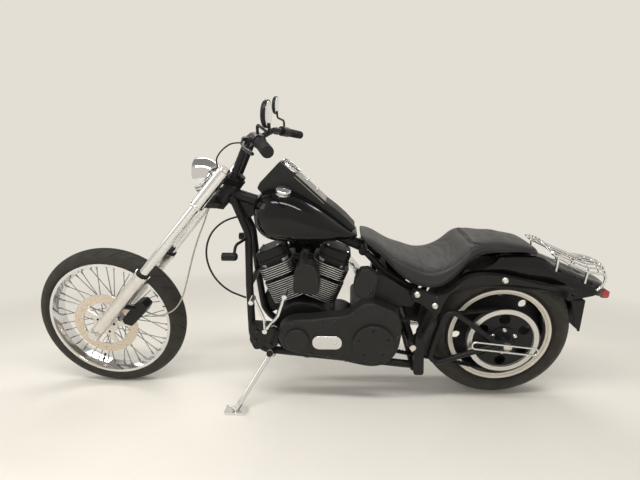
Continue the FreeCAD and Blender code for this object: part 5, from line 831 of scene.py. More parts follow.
tyres = {
    "front": {"node": "front_tyre", "body": "front_wheel", "centre": wheelPlaces["front"], "radius": 343.0,
              "halfWidth": 45.0, "crown": 46.0, "bead": 279.0, "rimHalfWidth": 34.0,
              "period": 30, "slant": 1.15, "from": 7.0, "to": 44.0, "groove": 4.6, "depth": 3.4,
              "circles": [(0.0, 2.4)]},
    "rear": {"node": "rear_tyre", "body": "rear_wheel", "centre": wheelPlaces["rear"], "radius": 326.0,
             "halfWidth": 96.0, "crown": 106.0, "bead": 223.0, "rimHalfWidth": 84.0,
             "period": 28, "slant": 0.85, "from": 12.0, "to": 88.0, "groove": 6.4, "depth": 4.2,
             "circles": [(-34.0, 2.6), (34.0, 2.6)]},
}
tyreShape = {"lip": 5.0, "wall": 7.0, "bulge": 0.45, "swell": 0.12, "edge": 0.7, "crownRows": 46,
             "wallRows": 12,
             "crownInside": 26.0, "crownInsideWidth": 0.6, "blockRows": 8, "sharp": 38.0}


def arcThrough(first, middle, last, count):
    # points along the circle through three points of a section
    (ax, ay), (bx, by), (cx, cy) = first, middle, last
    aa, bb, cc = ax ** 2 + ay ** 2, bx ** 2 + by ** 2, cx ** 2 + cy ** 2
    d = 2 * (ax * (by - cy) + bx * (cy - ay) + cx * (ay - by))
    ux = (aa * (by - cy) + bb * (cy - ay) + cc * (ay - by)) / d
    uy = (aa * (cx - bx) + bb * (ax - cx) + cc * (bx - ax)) / d
    start = math.atan2(ay - uy, ax - ux)
    mid = math.atan2(by - uy, bx - ux)
    end = math.atan2(cy - uy, cx - ux)
    turn = (end - start) % (2 * math.pi)
    if (mid - start) % (2 * math.pi) > turn:
        turn -= 2 * math.pi
    reach = math.hypot(ax - ux, ay - uy)
    return [(ux + reach * math.cos(start + turn * i / count), uy + reach * math.sin(start + turn * i / count))
            for i in range(count + 1)]


def tyreRows(look):
    # the section from one bead over the crown to the other: radius, side place, length from the middle, kind
    crown, half = look["crown"], look["halfWidth"]
    spread = math.asin(min(1.0, half / crown))
    most = crown * spread
    edge = (look["radius"] - crown + crown * math.cos(spread), crown * math.sin(spread))
    bead = (look["bead"] + tyreShape["lip"], look["rimHalfWidth"])
    wall = (bead[0] + (edge[0] - bead[0]) * tyreShape["bulge"],
            half + (half - look["rimHalfWidth"]) * tyreShape["swell"])
    side = arcThrough(edge, wall, bead, tyreShape["wallRows"])
    lengths = set()
    for index in range(tyreShape["crownRows"] + 1):
        lengths.add(round(most * index / tyreShape["crownRows"] * 2 - most, 3))
    for mark in (look["from"], look["to"]):
        for sign in (-1, 1):
            lengths.update((sign * mark, sign * (mark + tyreShape["edge"])))
    for middle, reach in look["circles"]:
        lengths.update((middle - reach, middle - reach + tyreShape["edge"],
                        middle + reach - tyreShape["edge"], middle + reach))
    rows = [(radius, -across, -most, "wall") for radius, across in reversed(side)]
    for length in sorted(lengths):
        if abs(length) >= most:
            continue
        angle = length / crown
        rows.append((look["radius"] - crown + crown * math.cos(angle), crown * math.sin(angle), length,
                     "crown"))
    rows += [(radius, across, most, "wall") for radius, across in side]
    inside = look["radius"] - tyreShape["crownInside"]
    rows.append((bead[0], bead[1] - tyreShape["wall"], most, "wall"))
    rows.append((inside, half * tyreShape["crownInsideWidth"], most, "wall"))
    rows.append((inside, -half * tyreShape["crownInsideWidth"], -most, "wall"))
    rows.append((bead[0], -bead[1] + tyreShape["wall"], -most, "wall"))
    return rows


def tyreColumns(look):
    # around the tyre, each repeat of the tread: a groove with steep walls, then the block
    pitch = 2 * math.pi * look["radius"] / look["period"]
    groove, edge = look["groove"], tyreShape["edge"]
    spots = [(0.0, 0.0), (edge, 1.0), (groove - edge, 1.0), (groove, 0.0)]
    rest = pitch - groove
    spots += [(groove + rest * row / tyreShape["blockRows"], 0.0) for row in range(1, tyreShape["blockRows"])]
    return [(index * pitch + spot, depth) for index in range(look["period"]) for spot, depth in spots]


def grooveDepth(look, length, kind, column):
    if kind != "crown":
        return 0.0
    deep = 0.0
    if look["from"] < abs(length) <= look["to"]:
        deep = column
    for middle, half in look["circles"]:
        if abs(length - middle) < half - tyreShape["edge"] * 0.5:
            deep = 1.0
    return deep * look["depth"]


def addTyre(name, look):
    rows = tyreRows(look)
    shape = bmesh.new()
    rings = []
    for along, column in tyreColumns(look):
        ring = []
        for radius, across, length, kind in rows:
            angle = (along + look["slant"] * abs(length)) / look["radius"]
            reach = radius - grooveDepth(look, length, kind, column)
            ring.append(shape.verts.new(wheelPoint(look["centre"], reach, across, angle)))
        rings.append(ring)
    skin(shape, rings)
    mesh = meshFrom(shape, name)
    piece = newPiece(name, mesh, "tyreBlack", look["body"])
    shadeSmooth(mesh)
    mesh.set_sharp_from_angle(angle=math.radians(tyreShape["sharp"]))
    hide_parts(look["node"])
    print("tyre", name, len(mesh.polygons), "faces")


for name, look in tyres.items():
    addTyre(name + "TyreTread", look)

# Bolts and nuts, seated on the frame's own faces. Places are upright, in millimetres, sizes are in metres

barPlace = {"centre": (-1054.03, 1154.83), "hand": (-988.03, 195.0, 1192.83), "end": (-899.03, 402.0, 1155.83),
            "gripRadius": 18.5, "gripLength": 118.0}
rockers = {"along": (-44.0, 44.0), "across": (-40.0, 40.0), "top": 460.0}
barClamp = {"along": (-13.5, 13.5), "across": (-58.0, -32.0, 32.0, 58.0), "above": 80.0}


def evenly(count, start=0.0):
    return [start + 360.0 * index / count for index in range(count)]


def bothSides(node, spots):
    return [onSide(node, side, spots) for side in (-1, 1)]


def rockerSeats():
    # four spots over each rocker box, looked for down its cylinder
    seats = []
    for side in (-1, 1):
        tilt = math.radians(engine["halfAngle"]) * side
        up, fore = (math.sin(tilt), 0.0, math.cos(tilt)), (math.cos(tilt), 0.0, -math.sin(tilt))
        spots = []
        for along in rockers["along"]:
            for across in rockers["across"]:
                spot = [c + u * rockers["top"] + f * along for c, u, f in zip(engine["crank"], up, fore)]
                spots.append((spot[0], spot[1] + across, spot[2]))
        seats.append(("cylinder_heads", tuple(-part for part in up), spots))
    return seats


def clampSeats():
    x, z = barPlace["centre"]
    return [("triple_trees", fromAbove, [(x + along, across, z + barClamp["above"])
                                         for along in barClamp["along"] for across in barClamp["across"]])]


boltWear = {"black": ("boltBlack", "steel"), "bright": ("chrome", "chrome"), "zinc": ("zincSteel", "steel")}
fasteners = {
    "primaryBolts": {"kind": "button", "size": 0.0078, "wear": "black", "body": "root", "edge": {
        "node": "primary_cover", "side": -1, "centre": (-700.0, 362.0), "inset": 14.0, "drop": 0.009,
        "angles": [4, 33, 62, 95, 128, 158, 183, 212, 245, 292, 330]}},
    "derbyBolts": {"kind": "socket", "size": 0.0052, "wear": "black", "body": "root", "seats": [
        onSide("derby_cover", -1, around((-550.0, 350.0), 62.0, [20, 92, 164, 236, 308]))]},
    "inspectionBolts": {"kind": "button", "size": 0.0046, "wear": "bright", "body": "root", "seats": [
        onSide("inspection_cover", -1, [(-775, 357), (-705, 353)])]},
    "strutBolts": {"kind": "hex", "size": 0.0095, "wear": "zinc", "body": "root", "seats":
        bothSides("fender_struts", [(-379, 560), (-306, 511), (-43, 626), (159, 600)])},
    "camCoverBolts": {"kind": "socket", "size": 0.0052, "wear": "black", "body": "root", "edge": {
        "node": "crankcase", "side": 1, "centre": (-845.0, 345.0), "inset": 9.0, "drop": 0.006,
        "angles": [15, 55, 95, 135, 175, 215, 255, 295, 335]}},
    "gearCoverBolts": {"kind": "socket", "size": 0.0052, "wear": "black", "body": "root", "edge": {
        "node": "transmission", "side": 1, "centre": (-560.0, 360.0), "inset": 12.0, "drop": 0.006,
        "angles": [20, 70, 120, 170, 220, 270, 320]}},
    "airCleanerBolts": {"kind": "socket", "size": 0.0052, "wear": "bright", "body": "root", "seats": [
        onSide("air_cleaner", 1, around((-867.0, 668.0), 52.0, [90, 210, 330]))]},
    "controlBolts": {"kind": "socket", "size": 0.0068, "wear": "black", "body": "root", "seats":
        bothSides("foot_controls", [(-1036, 382), (-1000, 322), (-1046, 336)])},
    "coverBolts": {"kind": "button", "size": 0.0048, "wear": "black", "body": "root", "seats": [
        onSide("horn_cover", -1, [(-858, 668), (-790, 668), (-858, 566), (-790, 566)]),
        onSide("coil_cover", -1, [(-618, 655), (-552, 655), (-618, 558), (-552, 558)])]},
    "frontDiscButtons": {"kind": "dome", "size": 0.0058, "wear": "bright", "body": "front_wheel", "seats": [
        onSide("front_disc", -1, around(wheelPlaces["front"], 108.5, evenly(10, 18)))]},
    "frontDiscBolts": {"kind": "button", "size": 0.0055, "wear": "black", "body": "front_wheel", "seats": [
        onSide("front_disc", -1, around(wheelPlaces["front"], 40.0, evenly(5)))]},
    "rearDiscButtons": {"kind": "dome", "size": 0.006, "wear": "bright", "body": "rear_wheel", "seats": [
        onSide("rear_disc", 1, around(wheelPlaces["rear"], 92.0, evenly(10)))]},
    "pulleyBolts": {"kind": "hex", "size": 0.0066, "wear": "bright", "body": "rear_wheel", "seats": [
        onSide("rear_pulley", -1, around(wheelPlaces["rear"], 52.0, evenly(6, 30)))]},
    "rockerBolts": {"kind": "socket", "size": 0.0058, "wear": "bright", "body": "root",
                    "seats": rockerSeats()},
    "barClampBolts": {"kind": "socket", "size": 0.0046, "wear": "bright", "body": "steering",
                      "seats": clampSeats()},
}


def addFasteners():
    for name, look in fasteners.items():
        places = edgePlaces(**look["edge"]) if "edge" in look else []
        for node, heading, spots in look.get("seats", []):
            places += castPlaces(node, spots, heading)
        finish, slot = boltWear[look["wear"]]
        bolts(name, look["kind"], look["size"], places, finish, look["body"])
    print("bolts seated")


addFasteners()

# Ribs of the grips and pegs, which start a little inside the rubber

gripAxis = unitOf([end - hand for end, hand in zip(barPlace["end"], barPlace["hand"])])
gripStart = [end - part * barPlace["gripLength"] for end, part in zip(barPlace["end"], gripAxis)]
ribs = {
    "sink": 0.2, "sides": 20,
    "grip": {"count": 15, "from": 9.0, "pitch": 7.2, "width": 3.6, "rise": 1.3,
             "radius": barPlace["gripRadius"], "start": gripStart, "axis": gripAxis},
    "peg": {"count": 12, "from": 16.0, "pitch": 7.6, "width": 4.0, "rise": 1.4, "radius": 13.0,
            "start": (-962.0, 157.0, 392.0), "axis": (0.0, 1.0, 0.0)},
    "folded": {"count": 9, "from": 18.0, "pitch": 8.6, "width": 4.6, "rise": 1.5, "radius": 13.0,
               "start": (-346.0, 185.3, 367.0), "axis": unitOf((35.2, 10.0, 100.0))},
}


def ribSet(start, axis, look):
    # rings round an upright line
    inner, outer, width = look["radius"] - ribs["sink"], look["radius"] + look["rise"], look["width"]
    outline = [(inner, 0.0), (outer, width * 0.25), (outer, width * 0.75), (inner, width)]
    rings = []
    for index in range(look["count"]):
        along = look["from"] + look["pitch"] * index
        spot = rowPoint(*[begin + part * along for begin, part in zip(start, axis)])
        rings.append(lathe("rib", outline, ribs["sides"], facing(spot, rowDirection(*axis))))
    return rings


def addRibs():
    for name, kinds, body in (("gripRibs", ("grip",), "steering"), ("pegRibs", ("peg", "folded"), "root")):
        rings = []
        for look in [ribs[kind] for kind in kinds]:
            for side in (-1, 1):
                rings += ribSet(mirrored(look["start"], side), mirrored(look["axis"], side), look)
        newPiece(name, joined(name, rings), "softRubber", body)
    print("grips and pegs ribbed")


addRibs()

# Collars of the pegs, fork seals and sleeve rings

fork = {"foot": (-1760.0, 122.0, 340.88), "up": (0.66262, 0.0, 0.748956)}


def forkPoint(along):
    return tuple(foot + part * along for foot, part in zip(fork["foot"], fork["up"]))


collars = {
    "pegCollars": {"finish": "chrome", "slot": "chrome", "body": "root", "start": (-962.0, 157.0, 392.0),
                   "axis": (0.0, 1.0, 0.0), "radius": 17.4, "height": 9.0},
    "forkSeals": {"finish": "softRubber", "slot": "rubber", "body": "steering", "start": forkPoint(373.0),
                  "axis": fork["up"], "radius": 27.6, "height": 9.0},
    "sleeveRings": {"finish": "chrome", "slot": "chrome", "body": "steering", "start": forkPoint(763.0),
                    "axis": fork["up"], "radius": 28.6, "height": 12.0},
}
# A collar's outline in shares of its radius and height
collarOutline = [(0.93, 0.0), (1.0, 0.14), (1.0, 0.86), (0.93, 1.0)]


def addCollars():
    for name, look in collars.items():
        outline = [(radius * look["radius"], height * look["height"]) for radius, height in collarOutline]
        rings = []
        for side in (-1, 1):
            start, axis = mirrored(look["start"], side), mirrored(look["axis"], side)
            rings.append(lathe("collar", outline, 40, facing(rowPoint(*start), rowDirection(*axis))))
        newPiece(name, joined(name, rings), look["finish"], look["body"])
    print("collars and seals made")


addCollars()

# Speedometer face, its ticks, needle and glass. Outlines are radii and heights, and ticks and needle are given
# by length, width and thickness, all in millimetres

dial = {"centre": (-890.04, 0.0, 1048.1), "normal": (0.65217, 0.0, 0.75807), "height": 9.3, "sides": 64,
        "ring": [(46.295, -0.4), (46.295, 2.0), (44.65, 3.6), (41.0, 3.6), (39.5, 0.8)],
        "face": [(39.5, 0.0), (39.5, 1.0), (23.7, 1.1)],
        "glass": [(40.5, 3.0), (40.5, 3.6), (27.65, 4.6), (11.85, 5.0)],
        "hub": [(3.5, 1.0), (3.5, 2.6), (2.0, 3.0)],
        "ticks": 33, "majorEach": 4, "major": (5.2, 1.1, 0.3), "minor": (2.8, 0.6, 0.3), "tickEnd": 36.5,
        "tickHeight": 1.3, "needle": (26.0, 1.2, 0.4), "needleShare": 0.4, "needleHeight": 2.0,
        "first": -35.0, "sweep": 250.0}


def dialBar(size, at, angle, reach, height):
    # a tick or the needle, at an angle in degrees
    unit = stance["scale"]
    bar = boxMesh("mark", size)
    turn = Matrix.Rotation(math.radians(angle), 4, "Z")
    bar.transform(at @ turn @ Matrix.Translation((reach * unit, 0, height * unit)))
    return bar


def addDial():
    top = [centre + part * dial["height"] for centre, part in zip(dial["centre"], dial["normal"])]
    at = facing(rowPoint(*top), rowDirection(*dial["normal"]))
    ring = lathe("dialRing", dial["ring"], dial["sides"], at)
    newPiece("dialRing", ring, "chrome", "root")
    face = lathe("dialFace", dial["face"], dial["sides"], at, False)
    newPiece("dialFace", face, "dialGrey", "root")
    marks = []
    for index in range(dial["ticks"]):
        angle = dial["first"] + dial["sweep"] * index / (dial["ticks"] - 1)
        size = dial["major"] if index % dial["majorEach"] == 0 else dial["minor"]
        marks.append(dialBar(size, at, angle, dial["tickEnd"] - size[0] / 2, dial["tickHeight"]))
    marks.append(dialBar(dial["needle"], at, dial["first"], dial["needle"][0] * dial["needleShare"],
                         dial["needleHeight"]))
    marks.append(lathe("needleHub", dial["hub"], 20, at))
    newPiece("dialMarks", joined("dialMarks", marks), "dialDark", "root")
    glass = lathe("dialGlass", dial["glass"], dial["sides"], at)
    newPiece("dialGlass", glass, "lampGlass", "root")
    print("speedometer face made")


addDial()

# Mirror glass, headlight bulb, valve stems

mirror = {"centres": [(-903.03, -335.0, 1262.83), (-998.03, 335.0, 1302.83)], "half": (47.0, 38.5),
          "facing": (1.0, 0.0, -0.08), "outline": [(1.0, 0.0), (1.0, 0.4), (0.97, 0.9)]}


def addMirrorGlass():
    meshes = []
    for centre in mirror["centres"]:
        z = rowDirection(*mirror["facing"])
        x = rowDirection(0, 1, 0)
        turn = Matrix((x, z.cross(x), z)).transposed().to_4x4()
        oval = Matrix.Diagonal((*mirror["half"], 1.0, 1.0))
        at = Matrix.Translation(rowPoint(*centre)) @ turn @ oval
        meshes.append(lathe("glass", mirror["outline"], 48, at))
    newPiece("mirrorGlass", joined("mirrorGlass", meshes), "mirrorGlass", "steering")
    print("mirror glass made")


addMirrorGlass()

lamp = {"front": (-1277.66, 0.0, 1014.35), "axis": (-0.99756, 0.0, -0.069756), "depth": 60.0,
        "bulb": [(19.0, -40.0), (14.0, -10.0), (10.0, 0.0), (10.0, 16.0), (16.0, 18.0), (16.5, 26.0),
                 (10.0, 31.0), (2.0, 33.0)]}


def addBulb():
    base = [front - part * lamp["depth"] for front, part in zip(lamp["front"], lamp["axis"])]
    bulb = lathe("bulb", lamp["bulb"], 32, facing(rowPoint(*base), rowDirection(*lamp["axis"])))
    newPiece("headlightBulb", bulb, "chrome", "steering")
    print("headlight bulb made")


addBulb()

valves = {"front": {"node": "front_rim", "body": "front_wheel", "angle": 248.0, "inside": 180.0},
          "rear": {"node": "rear_rim", "body": "rear_wheel", "angle": 68.0, "inside": 175.0}}
valveStem = [(6.2, -0.2), (6.2, 3.0), (3.6, 4.5), (3.6, 22.0), (5.0, 22.5), (5.0, 31.0), (3.6, 33.0)]


def addValves():
    # each stem stands on the rim and points at the axle
    for name, look in valves.items():
        angle = math.radians(look["angle"])
        out = (math.cos(angle), 0.0, math.sin(angle))
        x, z = around(wheelPlaces[name], look["inside"], [look["angle"]])[0]
        spot, normal = hitOn(look["node"], (x, 0.0, z), out)
        if spot is None:
            continue
        stem = lathe("stem", valveStem, 20, facing(spot, -rowDirection(*out)))
        newPiece(name + "ValveStem", stem, "boltBlack", look["body"])
    print("valve stems made")


addValves()

# Pieces of the frame that the scene draws anew, where they are

def reshaped(name, node, finish, move):
    # a copy of a node's own mesh, each point moved by a rule in upright millimetres
    mesh = nodes[node].data.copy()
    mesh.name = name
    for vertex in mesh.vertices:
        vertex.co = uprightToRow @ move(uprightFromRow @ vertex.co)
    piece = newPiece(name, mesh, finish, "root")
    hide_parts(node)
    return piece


# The fender's shoulders rise to meet the seat
fenderShape = {"rise": 30.0, "front": (-240.0, -170.0), "rear": (120.0, 210.0), "side": (40.0, 96.0),
               "height": (560.0, 640.0)}


def fenderMove(spot):
    look = fenderShape
    amount = smoothStep(*look["front"], spot.x) * (1.0 - smoothStep(*look["rear"], spot.x))
    amount *= smoothStep(*look["side"], abs(spot.y)) * smoothStep(*look["height"], spot.z)
    return spot + Vector((0.0, 0.0, look["rise"] * amount))


fenderShell = reshaped("fenderShell", "rear_fender", "glossBlack", fenderMove)
print("fender drawn")

# The struts are arched over the wheel, and the fender is opened along the same line
strutArch = {"halfWidth": 200.0, "weld": 0.00001, "sharp": 30.0, "corners": [
    (-300, 430), (-272, 520), (-250, 565), (-209, 594), (-140, 603), (-64, 606), (12, 605), (90, 594),
    (168, 579), (215, 568), (262, 556), (262, 430)]}


def archCutter():
    shape = bmesh.new()
    half = strutArch["halfWidth"]
    low = [shape.verts.new(rowPoint(x, -half, z)) for x, z in strutArch["corners"]]
    high = [shape.verts.new(rowPoint(x, half, z)) for x, z in strutArch["corners"]]
    shape.faces.new(low)
    shape.faces.new(list(reversed(high)))
    for index in range(len(low)):
        after = (index + 1) % len(low)
        shape.faces.new((low[index], high[index], high[after], low[after]))
    bmesh.ops.recalc_face_normals(shape, faces=shape.faces)
    return linked("archCutter", meshFrom(shape, "archCutter"))


def addStruts():
    struts = reshaped("strutPlates", "fender_struts", "satinBlack", lambda spot: spot)
    cutter = archCutter()
    for piece in (struts, fenderShell):
        weld = piece.modifiers.new("weld", "WELD")
        weld.merge_threshold = strutArch["weld"]
        cut = piece.modifiers.new("arch", "BOOLEAN")
        cut.operation = "DIFFERENCE"
        cut.object = cutter
        cut.solver = "EXACT"
        finish = piece.data.materials[0]
        arched = evaluatedMesh(piece)
        piece.modifiers.clear()
        piece.data = arched
        arched.materials.clear()
        arched.materials.append(finish)
        shadeSmooth(arched)
        arched.set_sharp_from_angle(angle=math.radians(strutArch["sharp"]))
        print(piece.name, "arched:", len(arched.polygons), "faces")
    bpy.data.objects.remove(cutter)


addStruts()

# Chrome wire loop outside the belt
guardLoop = {"front": -148.0, "rear": 118.0, "side": -178.4, "centre": 327.0, "fall": 13.0, "half": 16.0,
             "wire": 4.0, "posts": [(-40.0, 1), (20.0, -1)], "postEnd": -158.0, "turns": 12}


def wire(name, line, radius):
    return tubeMesh(name, line, radius * stance["scale"], 12)


def addGuardLoop():
    look = guardLoop
    spots = []
    for end, x in ((1, look["rear"]), (-1, look["front"])):
        z = look["centre"] - look["fall"] * end
        middle = x - end * look["half"]
        for index in range(look["turns"] + 1):
            angle = math.pi / 2 - math.pi * index / look["turns"]
            spots.append((middle + end * look["half"] * math.cos(angle),
                          z + end * look["half"] * math.sin(angle)))
    spots.append(spots[0])
    parts = [wire("loop", [rowPoint(x, look["side"], z) for x, z in spots], look["wire"])]
    for x, up in look["posts"]:
        share = (x - look["front"]) / (look["rear"] - look["front"])
        z = look["centre"] + look["fall"] * (1 - 2 * share) + look["half"] * up
        post = [rowPoint(x, look["side"], z), rowPoint(x, look["postEnd"], z)]
        parts.append(wire("post", post, look["wire"]))
    piece = newPiece("guardLoop", joined("guardLoop", parts), "chrome", "root")
    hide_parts("belt_guard_loop")
    print("guard loop drawn")


addGuardLoop()

# Luggage rack of bent wire: rails over the fender, cross bars under them, and a rim
rack = {"half": 104.0, "rails": 9, "wire": 3.4, "rimWire": 5.0, "bars": (0.10, 0.26, 0.42, 0.58, 0.74, 0.90),
        "barWire": 0.9, "barDrop": 1.8, "crown": 20.0, "taper": 36.0,
        "rail": [(156, 740), (164, 731), (180, 721), (246, 691), (322, 660), (352, 653), (388, 649),
                 (412, 640), (418, 622)],
        "loop": [(418, 622), (414, 604), (396, 582), (372, 566), (352, 560)],
        # where feet stand on the fender, and from where the loops' ends look for it: back, outside and below
        "feet": (188.0, 330.0), "footInset": 0.97, "holdBack": 6.0, "holdOutside": 1.6, "holdBelow": 12.0}


def rackPoint(x, y, z):
    # the rack is a little crowned, and its outer rails end sooner
    share = (y / rack["half"]) ** 2
    reach = (x - rack["rail"][0][0]) / (rack["rail"][-1][0] - rack["rail"][0][0])
    return (x - rack["taper"] * share * reach, y, z - rack["crown"] * share)


def railHeight(x):
    for (x0, z0), (x1, z1) in zip(rack["rail"], rack["rail"][1:]):
        if x0 <= x <= x1:
            return z0 + (z1 - z0) * (x - x0) / (x1 - x0)


def addRack():
    look = rack
    parts = []
    for index in range(look["rails"]):
        y = -look["half"] + 2 * look["half"] * index / (look["rails"] - 1)
        outer = index in (0, look["rails"] - 1)
        spots = look["rail"] + (look["loop"][1:] if outer else [])
        line = smoothLine([rowPoint(*rackPoint(x, y, z)) for x, z in spots], 6)
        parts.append(wire("rail", line, look["rimWire"] if outer else look["wire"]))
    line = smoothLine([rowPoint(*rackPoint(x, 0.0, z)) for x, z in look["rail"]], 6)
    for share in look["bars"]:
        spot = uprightFromRow @ line[int(share * (len(line) - 1))]
        z = spot.z - look["wire"] * look["barDrop"]
        bar = [rowPoint(*rackPoint(spot.x, look["half"] * step / 6, z)) for step in range(-6, 7)]
        parts.append(wire("bar", bar, look["wire"] * look["barWire"]))
    endX, endZ = look["rail"][-1]
    rim = [rowPoint(*rackPoint(endX, look["half"] * step / 8, endZ)) for step in range(-8, 9)]
    parts.append(wire("rim", rim, look["rimWire"]))
    for side in (-1, 1):
        for x in look["feet"]:
            start = rackPoint(x, side * look["half"], railHeight(x))
            above = (start[0], start[1] * look["footInset"], start[2])
            spot, normal = hitOn("rear_fender", above, fromAbove)
            if spot is not None:
                parts.append(wire("foot", [rowPoint(*start), spot], look["rimWire"]))
        x, z = look["loop"][-1]
        low = rackPoint(x, side * look["half"], z)
        beside = (low[0] - look["holdBack"], side * look["half"] * look["holdOutside"],
                  low[2] - look["holdBelow"])
        spot, normal = hitOn("rear_fender", beside, (0, -side, 0))
        if spot is not None:
            parts.append(wire("hold", [rowPoint(*low), spot], look["rimWire"]))
    piece = newPiece("wireRack", joined("wireRack", parts), "chrome", "root")
    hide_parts("luggage_rack")
    print("rack drawn:", len(piece.data.polygons), "faces")


addRack()

# Fuel caps: a flange, a neck and a low dome
caps = {"x": -912.0, "y": 92.0, "facing": (0.30, 0.34, 1.0), "sharp": 50.0, "profile": [
    (30.0, -3.0), (31.0, 1.5), (30.0, 4.0), (26.0, 5.0), (26.0, 8.0), (30.5, 10.0), (31.5, 14.0), (30.5, 17.5),
    (26.0, 20.5), (18.0, 22.5), (9.0, 23.6), (3.0, 24.0)]}


def addCaps():
    meshes = []
    for side in (-1, 1):
        spot, normal = hitOn("fuel_tank", (caps["x"], side * caps["y"], search["above"]), fromAbove)
        at = facing(spot, rowDirection(*mirrored(caps["facing"], side)))
        meshes.append(lathe("cap", caps["profile"], 48, at))
    piece = newPiece("capDomes", joined("capDomes", meshes), "chrome", "root")
    piece.data.set_sharp_from_angle(angle=math.radians(caps["sharp"]))
    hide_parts("fuel_caps")
    print("fuel caps drawn")


addCaps()

# Panel on top of the console, with its lamps and switch. Its fittings' outlines are in shares of the radius
# and millimetres of height
panel = {"columns": [-866, -856, -846, -820, -794, -770, -752, -746], "width": 50.0, "lift": 1.2, "crown": 5.0,
         "steps": 12, "lap": 12.0, "lapBack": 7.0, "reach": 0.985, "seen": 0.94, "thick": 0.0016,
         "facing": (0.65, 0.0, 0.76),
         "fittings": [(-826.0, 0.0, 13.0, "switch"), (-786.0, -20.0, 6.0, "lamp"), (-786.0, 0.0, 6.0, "lamp"),
                      (-786.0, 20.0, 6.0, "lamp")],
         "bezel": [(1.0, -1.0), (1.0, 2.0), (0.86, 3.0), (0.72, 2.6)],
         "lamp": [(0.7, 2.4), (0.5, 3.8), (0.2, 4.2)], "switch": [(0.62, 2.0), (0.58, 9.0), (0.4, 10.0)]}


def panelRow(x):
    # a line of points over the console from side to side, with a lap down each side
    up = rowDirection(*panel["facing"]) * stance["scale"]
    row = []
    for step in range(panel["steps"] + 1):
        y = panel["width"] * (2.0 * step / panel["steps"] - 1.0) * panel["reach"]
        spot, normal = hitOn("console", (x, y * panel["seen"], search["above"]), fromAbove)
        row.append(spot + up * (panel["lift"] + panel["crown"] * (1.0 - (y / panel["width"]) ** 2)))
    laps = []
    for side, spot in ((-1, row[0]), (1, row[-1])):
        edge = uprightFromRow @ spot
        laps.append(rowPoint(edge.x - panel["lapBack"], side * (panel["width"] + panel["lift"]),
                             edge.z - panel["lap"]))
    return [laps[0], *row, laps[1]]


def panelFitting(name, radius, at, sides):
    outline = [(share * radius, height) for share, height in panel[name]]
    return lathe(name, outline, sides, at)


def addPanel():
    shape = bmesh.new()
    rows = [[shape.verts.new(spot) for spot in panelRow(x)] for x in panel["columns"]]
    for first, second in zip(rows, rows[1:]):
        for index in range(len(first) - 1):
            shape.faces.new((first[index], first[index + 1], second[index + 1], second[index]))
    bmesh.ops.recalc_face_normals(shape, faces=shape.faces)
    mesh = meshFrom(shape, "consolePanel")
    piece = newPiece("consolePanel", mesh, "consoleGrey", "root")
    thick = piece.modifiers.new("thick", "SOLIDIFY")
    thick.thickness = panel["thick"]
    thick.offset = -1.0
    shadeSmooth(mesh)
    up = rowDirection(*panel["facing"])
    bright, amber = [], []
    for x, y, radius, kind in panel["fittings"]:
        spot, normal = hitOn("console", (x, y, search["above"]), fromAbove)
        at = facing(spot + up * (panel["lift"] + panel["crown"]) * stance["scale"], up)
        bright.append(panelFitting("bezel", radius, at, 32))
        (amber if kind == "lamp" else bright).append(panelFitting(kind, radius, at, 24))
    newPiece("panelBezels", joined("panelBezels", bright), "chrome", "root")
    newPiece("panelLamps", joined("panelLamps", amber), "amberLens", "root")
    print("console panel made")


addPanel()

# Turned lips of the rear rim: a broad ring, a groove and a thin ring on each side
rimLip = {"sides": 96, "sharp": 40.0, "section": [
    (216.5, 84.0), (218.4, 87.0), (218.2, 89.2), (215.5, 89.9), (208.5, 89.4), (206.2, 88.0), (205.6, 84.5),
    (203.6, 83.8), (202.2, 84.8), (199.5, 85.0), (197.4, 83.6), (196.8, 80.0), (199.0, 76.5), (206.0, 75.5),
    (214.0, 75.5)]}


def addRimLips():
    shape = bmesh.new()
    for side in (-1, 1):
        rings = []
        for index in range(rimLip["sides"]):
            angle = 2 * math.pi * index / rimLip["sides"]
            rings.append([shape.verts.new(wheelPoint(wheelPlaces["rear"], radius, side * across, angle))
                          for radius, across in rimLip["section"]])
        skin(shape, rings)
    mesh = meshFrom(shape, "rearRimLips")
    newPiece("rearRimLips", mesh, "rimSilver", "rear_wheel")
    shadeSmooth(mesh)
    mesh.set_sharp_from_angle(angle=math.radians(rimLip["sharp"]))
    print("rear rim lips made")


addRimLips()

# Floor, wall and light

studio = {"floorRadius": 9.0, "floorSides": 96, "floor": (0.92, 0.88, 0.80), "floorRough": 0.7,
          "wall": (0.775, 0.735, 0.665), "fadeFrom": 1.9, "fadeTo": 3.4,
          "ceiling": (0.30, 0.29, 0.28), "ceilingFrom": 0.60, "ceilingTo": 0.85,
          "world": 0.38, "worldColour": (1.0, 0.99, 0.97, 1.0), "lampColour": (1.0, 0.985, 0.96),
          # lamps: place, size, power, what it looks at, and whether reflections show it
          "lamps": [("overheadLeft", (0.0, -1.5, 2.9), (3.2, 0.35), 60.0, (0.0, -0.2, 0.5), True),
                    ("overheadRight", (0.0, 1.6, 2.9), (3.2, 0.35), 26.0, (0.0, 0.2, 0.5), True),
                    ("frontFill", (-0.3, -3.4, 1.6), (2.6, 1.6), 34.0, (0.0, 0.0, 0.5), False),
                    ("noseFill", (-3.4, -0.8, 1.8), (1.6, 1.6), 16.0, (0.0, 0.0, 0.5), True)]}


def seenRays(tree):
    path = addNode(tree, "ShaderNodeLightPath").outputs
    seen = mathNode(tree, "MAXIMUM", path["Is Camera Ray"], path["Is Glossy Ray"])
    return mathNode(tree, "MAXIMUM", seen, path["Is Transmission Ray"])


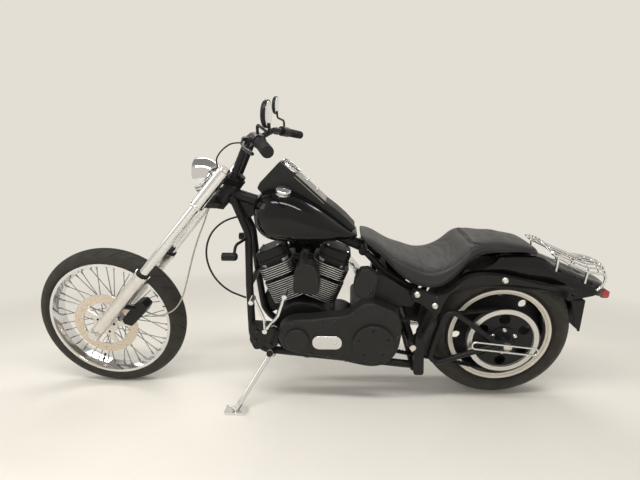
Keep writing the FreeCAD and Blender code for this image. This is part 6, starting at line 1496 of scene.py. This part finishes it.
def addWorld():
    world = bpy.data.worlds.new("studioWorld")
    bpy.context.scene.world = world
    world.use_nodes = True
    tree = world.node_tree
    tree.nodes.clear()
    light = addNode(tree, "ShaderNodeBackground")
    light.inputs["Color"].default_value = studio["worldColour"]
    light.inputs["Strength"].default_value = studio["world"]
    wall = addNode(tree, "ShaderNodeBackground")
    rise = addNode(tree, "ShaderNodeSeparateXYZ")
    plug(tree, addNode(tree, "ShaderNodeTexCoord").outputs["Generated"], rise.inputs[0])
    overhead = rangeNode(tree, rise.outputs["Z"], studio["ceilingFrom"], studio["ceilingTo"])
    plug(tree, colourMix(tree, overhead, studio["wall"], studio["ceiling"]), wall.inputs["Color"])
    mix = addNode(tree, "ShaderNodeMixShader")
    plug(tree, seenRays(tree), mix.inputs[0])
    plug(tree, light.outputs[0], mix.inputs[1])
    plug(tree, wall.outputs[0], mix.inputs[2])
    plug(tree, mix.outputs[0], addNode(tree, "ShaderNodeOutputWorld").inputs["Surface"])


def addFloor():
    shape = bmesh.new()
    bmesh.ops.create_circle(shape, cap_ends=True, radius=studio["floorRadius"], segments=studio["floorSides"])
    mesh = meshFrom(shape, "studioFloor")
    floor = linked("studioFloor", mesh)
    material = bpy.data.materials.new("studioFloor")
    material.use_nodes = True
    tree = material.node_tree
    shader = tree.nodes["Principled BSDF"]
    shader.inputs["Roughness"].default_value = studio["floorRough"]
    speckle = rangeNode(tree, noise(tree, 3.0, 6.0), 0.3, 0.7, 0.0, 1.0)
    dark, light = shades(studio["floor"], 0.015)
    plug(tree, colourMix(tree, speckle, dark, light), shader.inputs["Base Color"])
    away = vectorNode(tree, "LENGTH", place(tree)).outputs["Value"]
    far = rangeNode(tree, away, studio["fadeFrom"], studio["fadeTo"])
    wall = addNode(tree, "ShaderNodeEmission")
    wall.inputs["Color"].default_value = (*studio["wall"], 1.0)
    mix = addNode(tree, "ShaderNodeMixShader")
    plug(tree, mathNode(tree, "MULTIPLY", far, seenRays(tree)), mix.inputs[0])
    plug(tree, shader.outputs[0], mix.inputs[1])
    plug(tree, wall.outputs[0], mix.inputs[2])
    plug(tree, mix.outputs[0], tree.nodes["Material Output"].inputs["Surface"])
    mesh.materials.append(material)


def addLamps():
    for name, spot, size, power, target, reflected in studio["lamps"]:
        light = bpy.data.lights.new(name, "AREA")
        light.shape = "RECTANGLE"
        light.size, light.size_y = size
        light.energy = power
        light.color = studio["lampColour"]
        holder = linked(name, light)
        holder.location = spot
        holder.rotation_euler = (Vector(target) - Vector(spot)).to_track_quat("-Z", "Y").to_euler()
        holder.visible_glossy = reflected


addWorld()
addFloor()
addLamps()
bpy.context.scene.view_settings.view_transform = "Standard"
print("floor and light set")
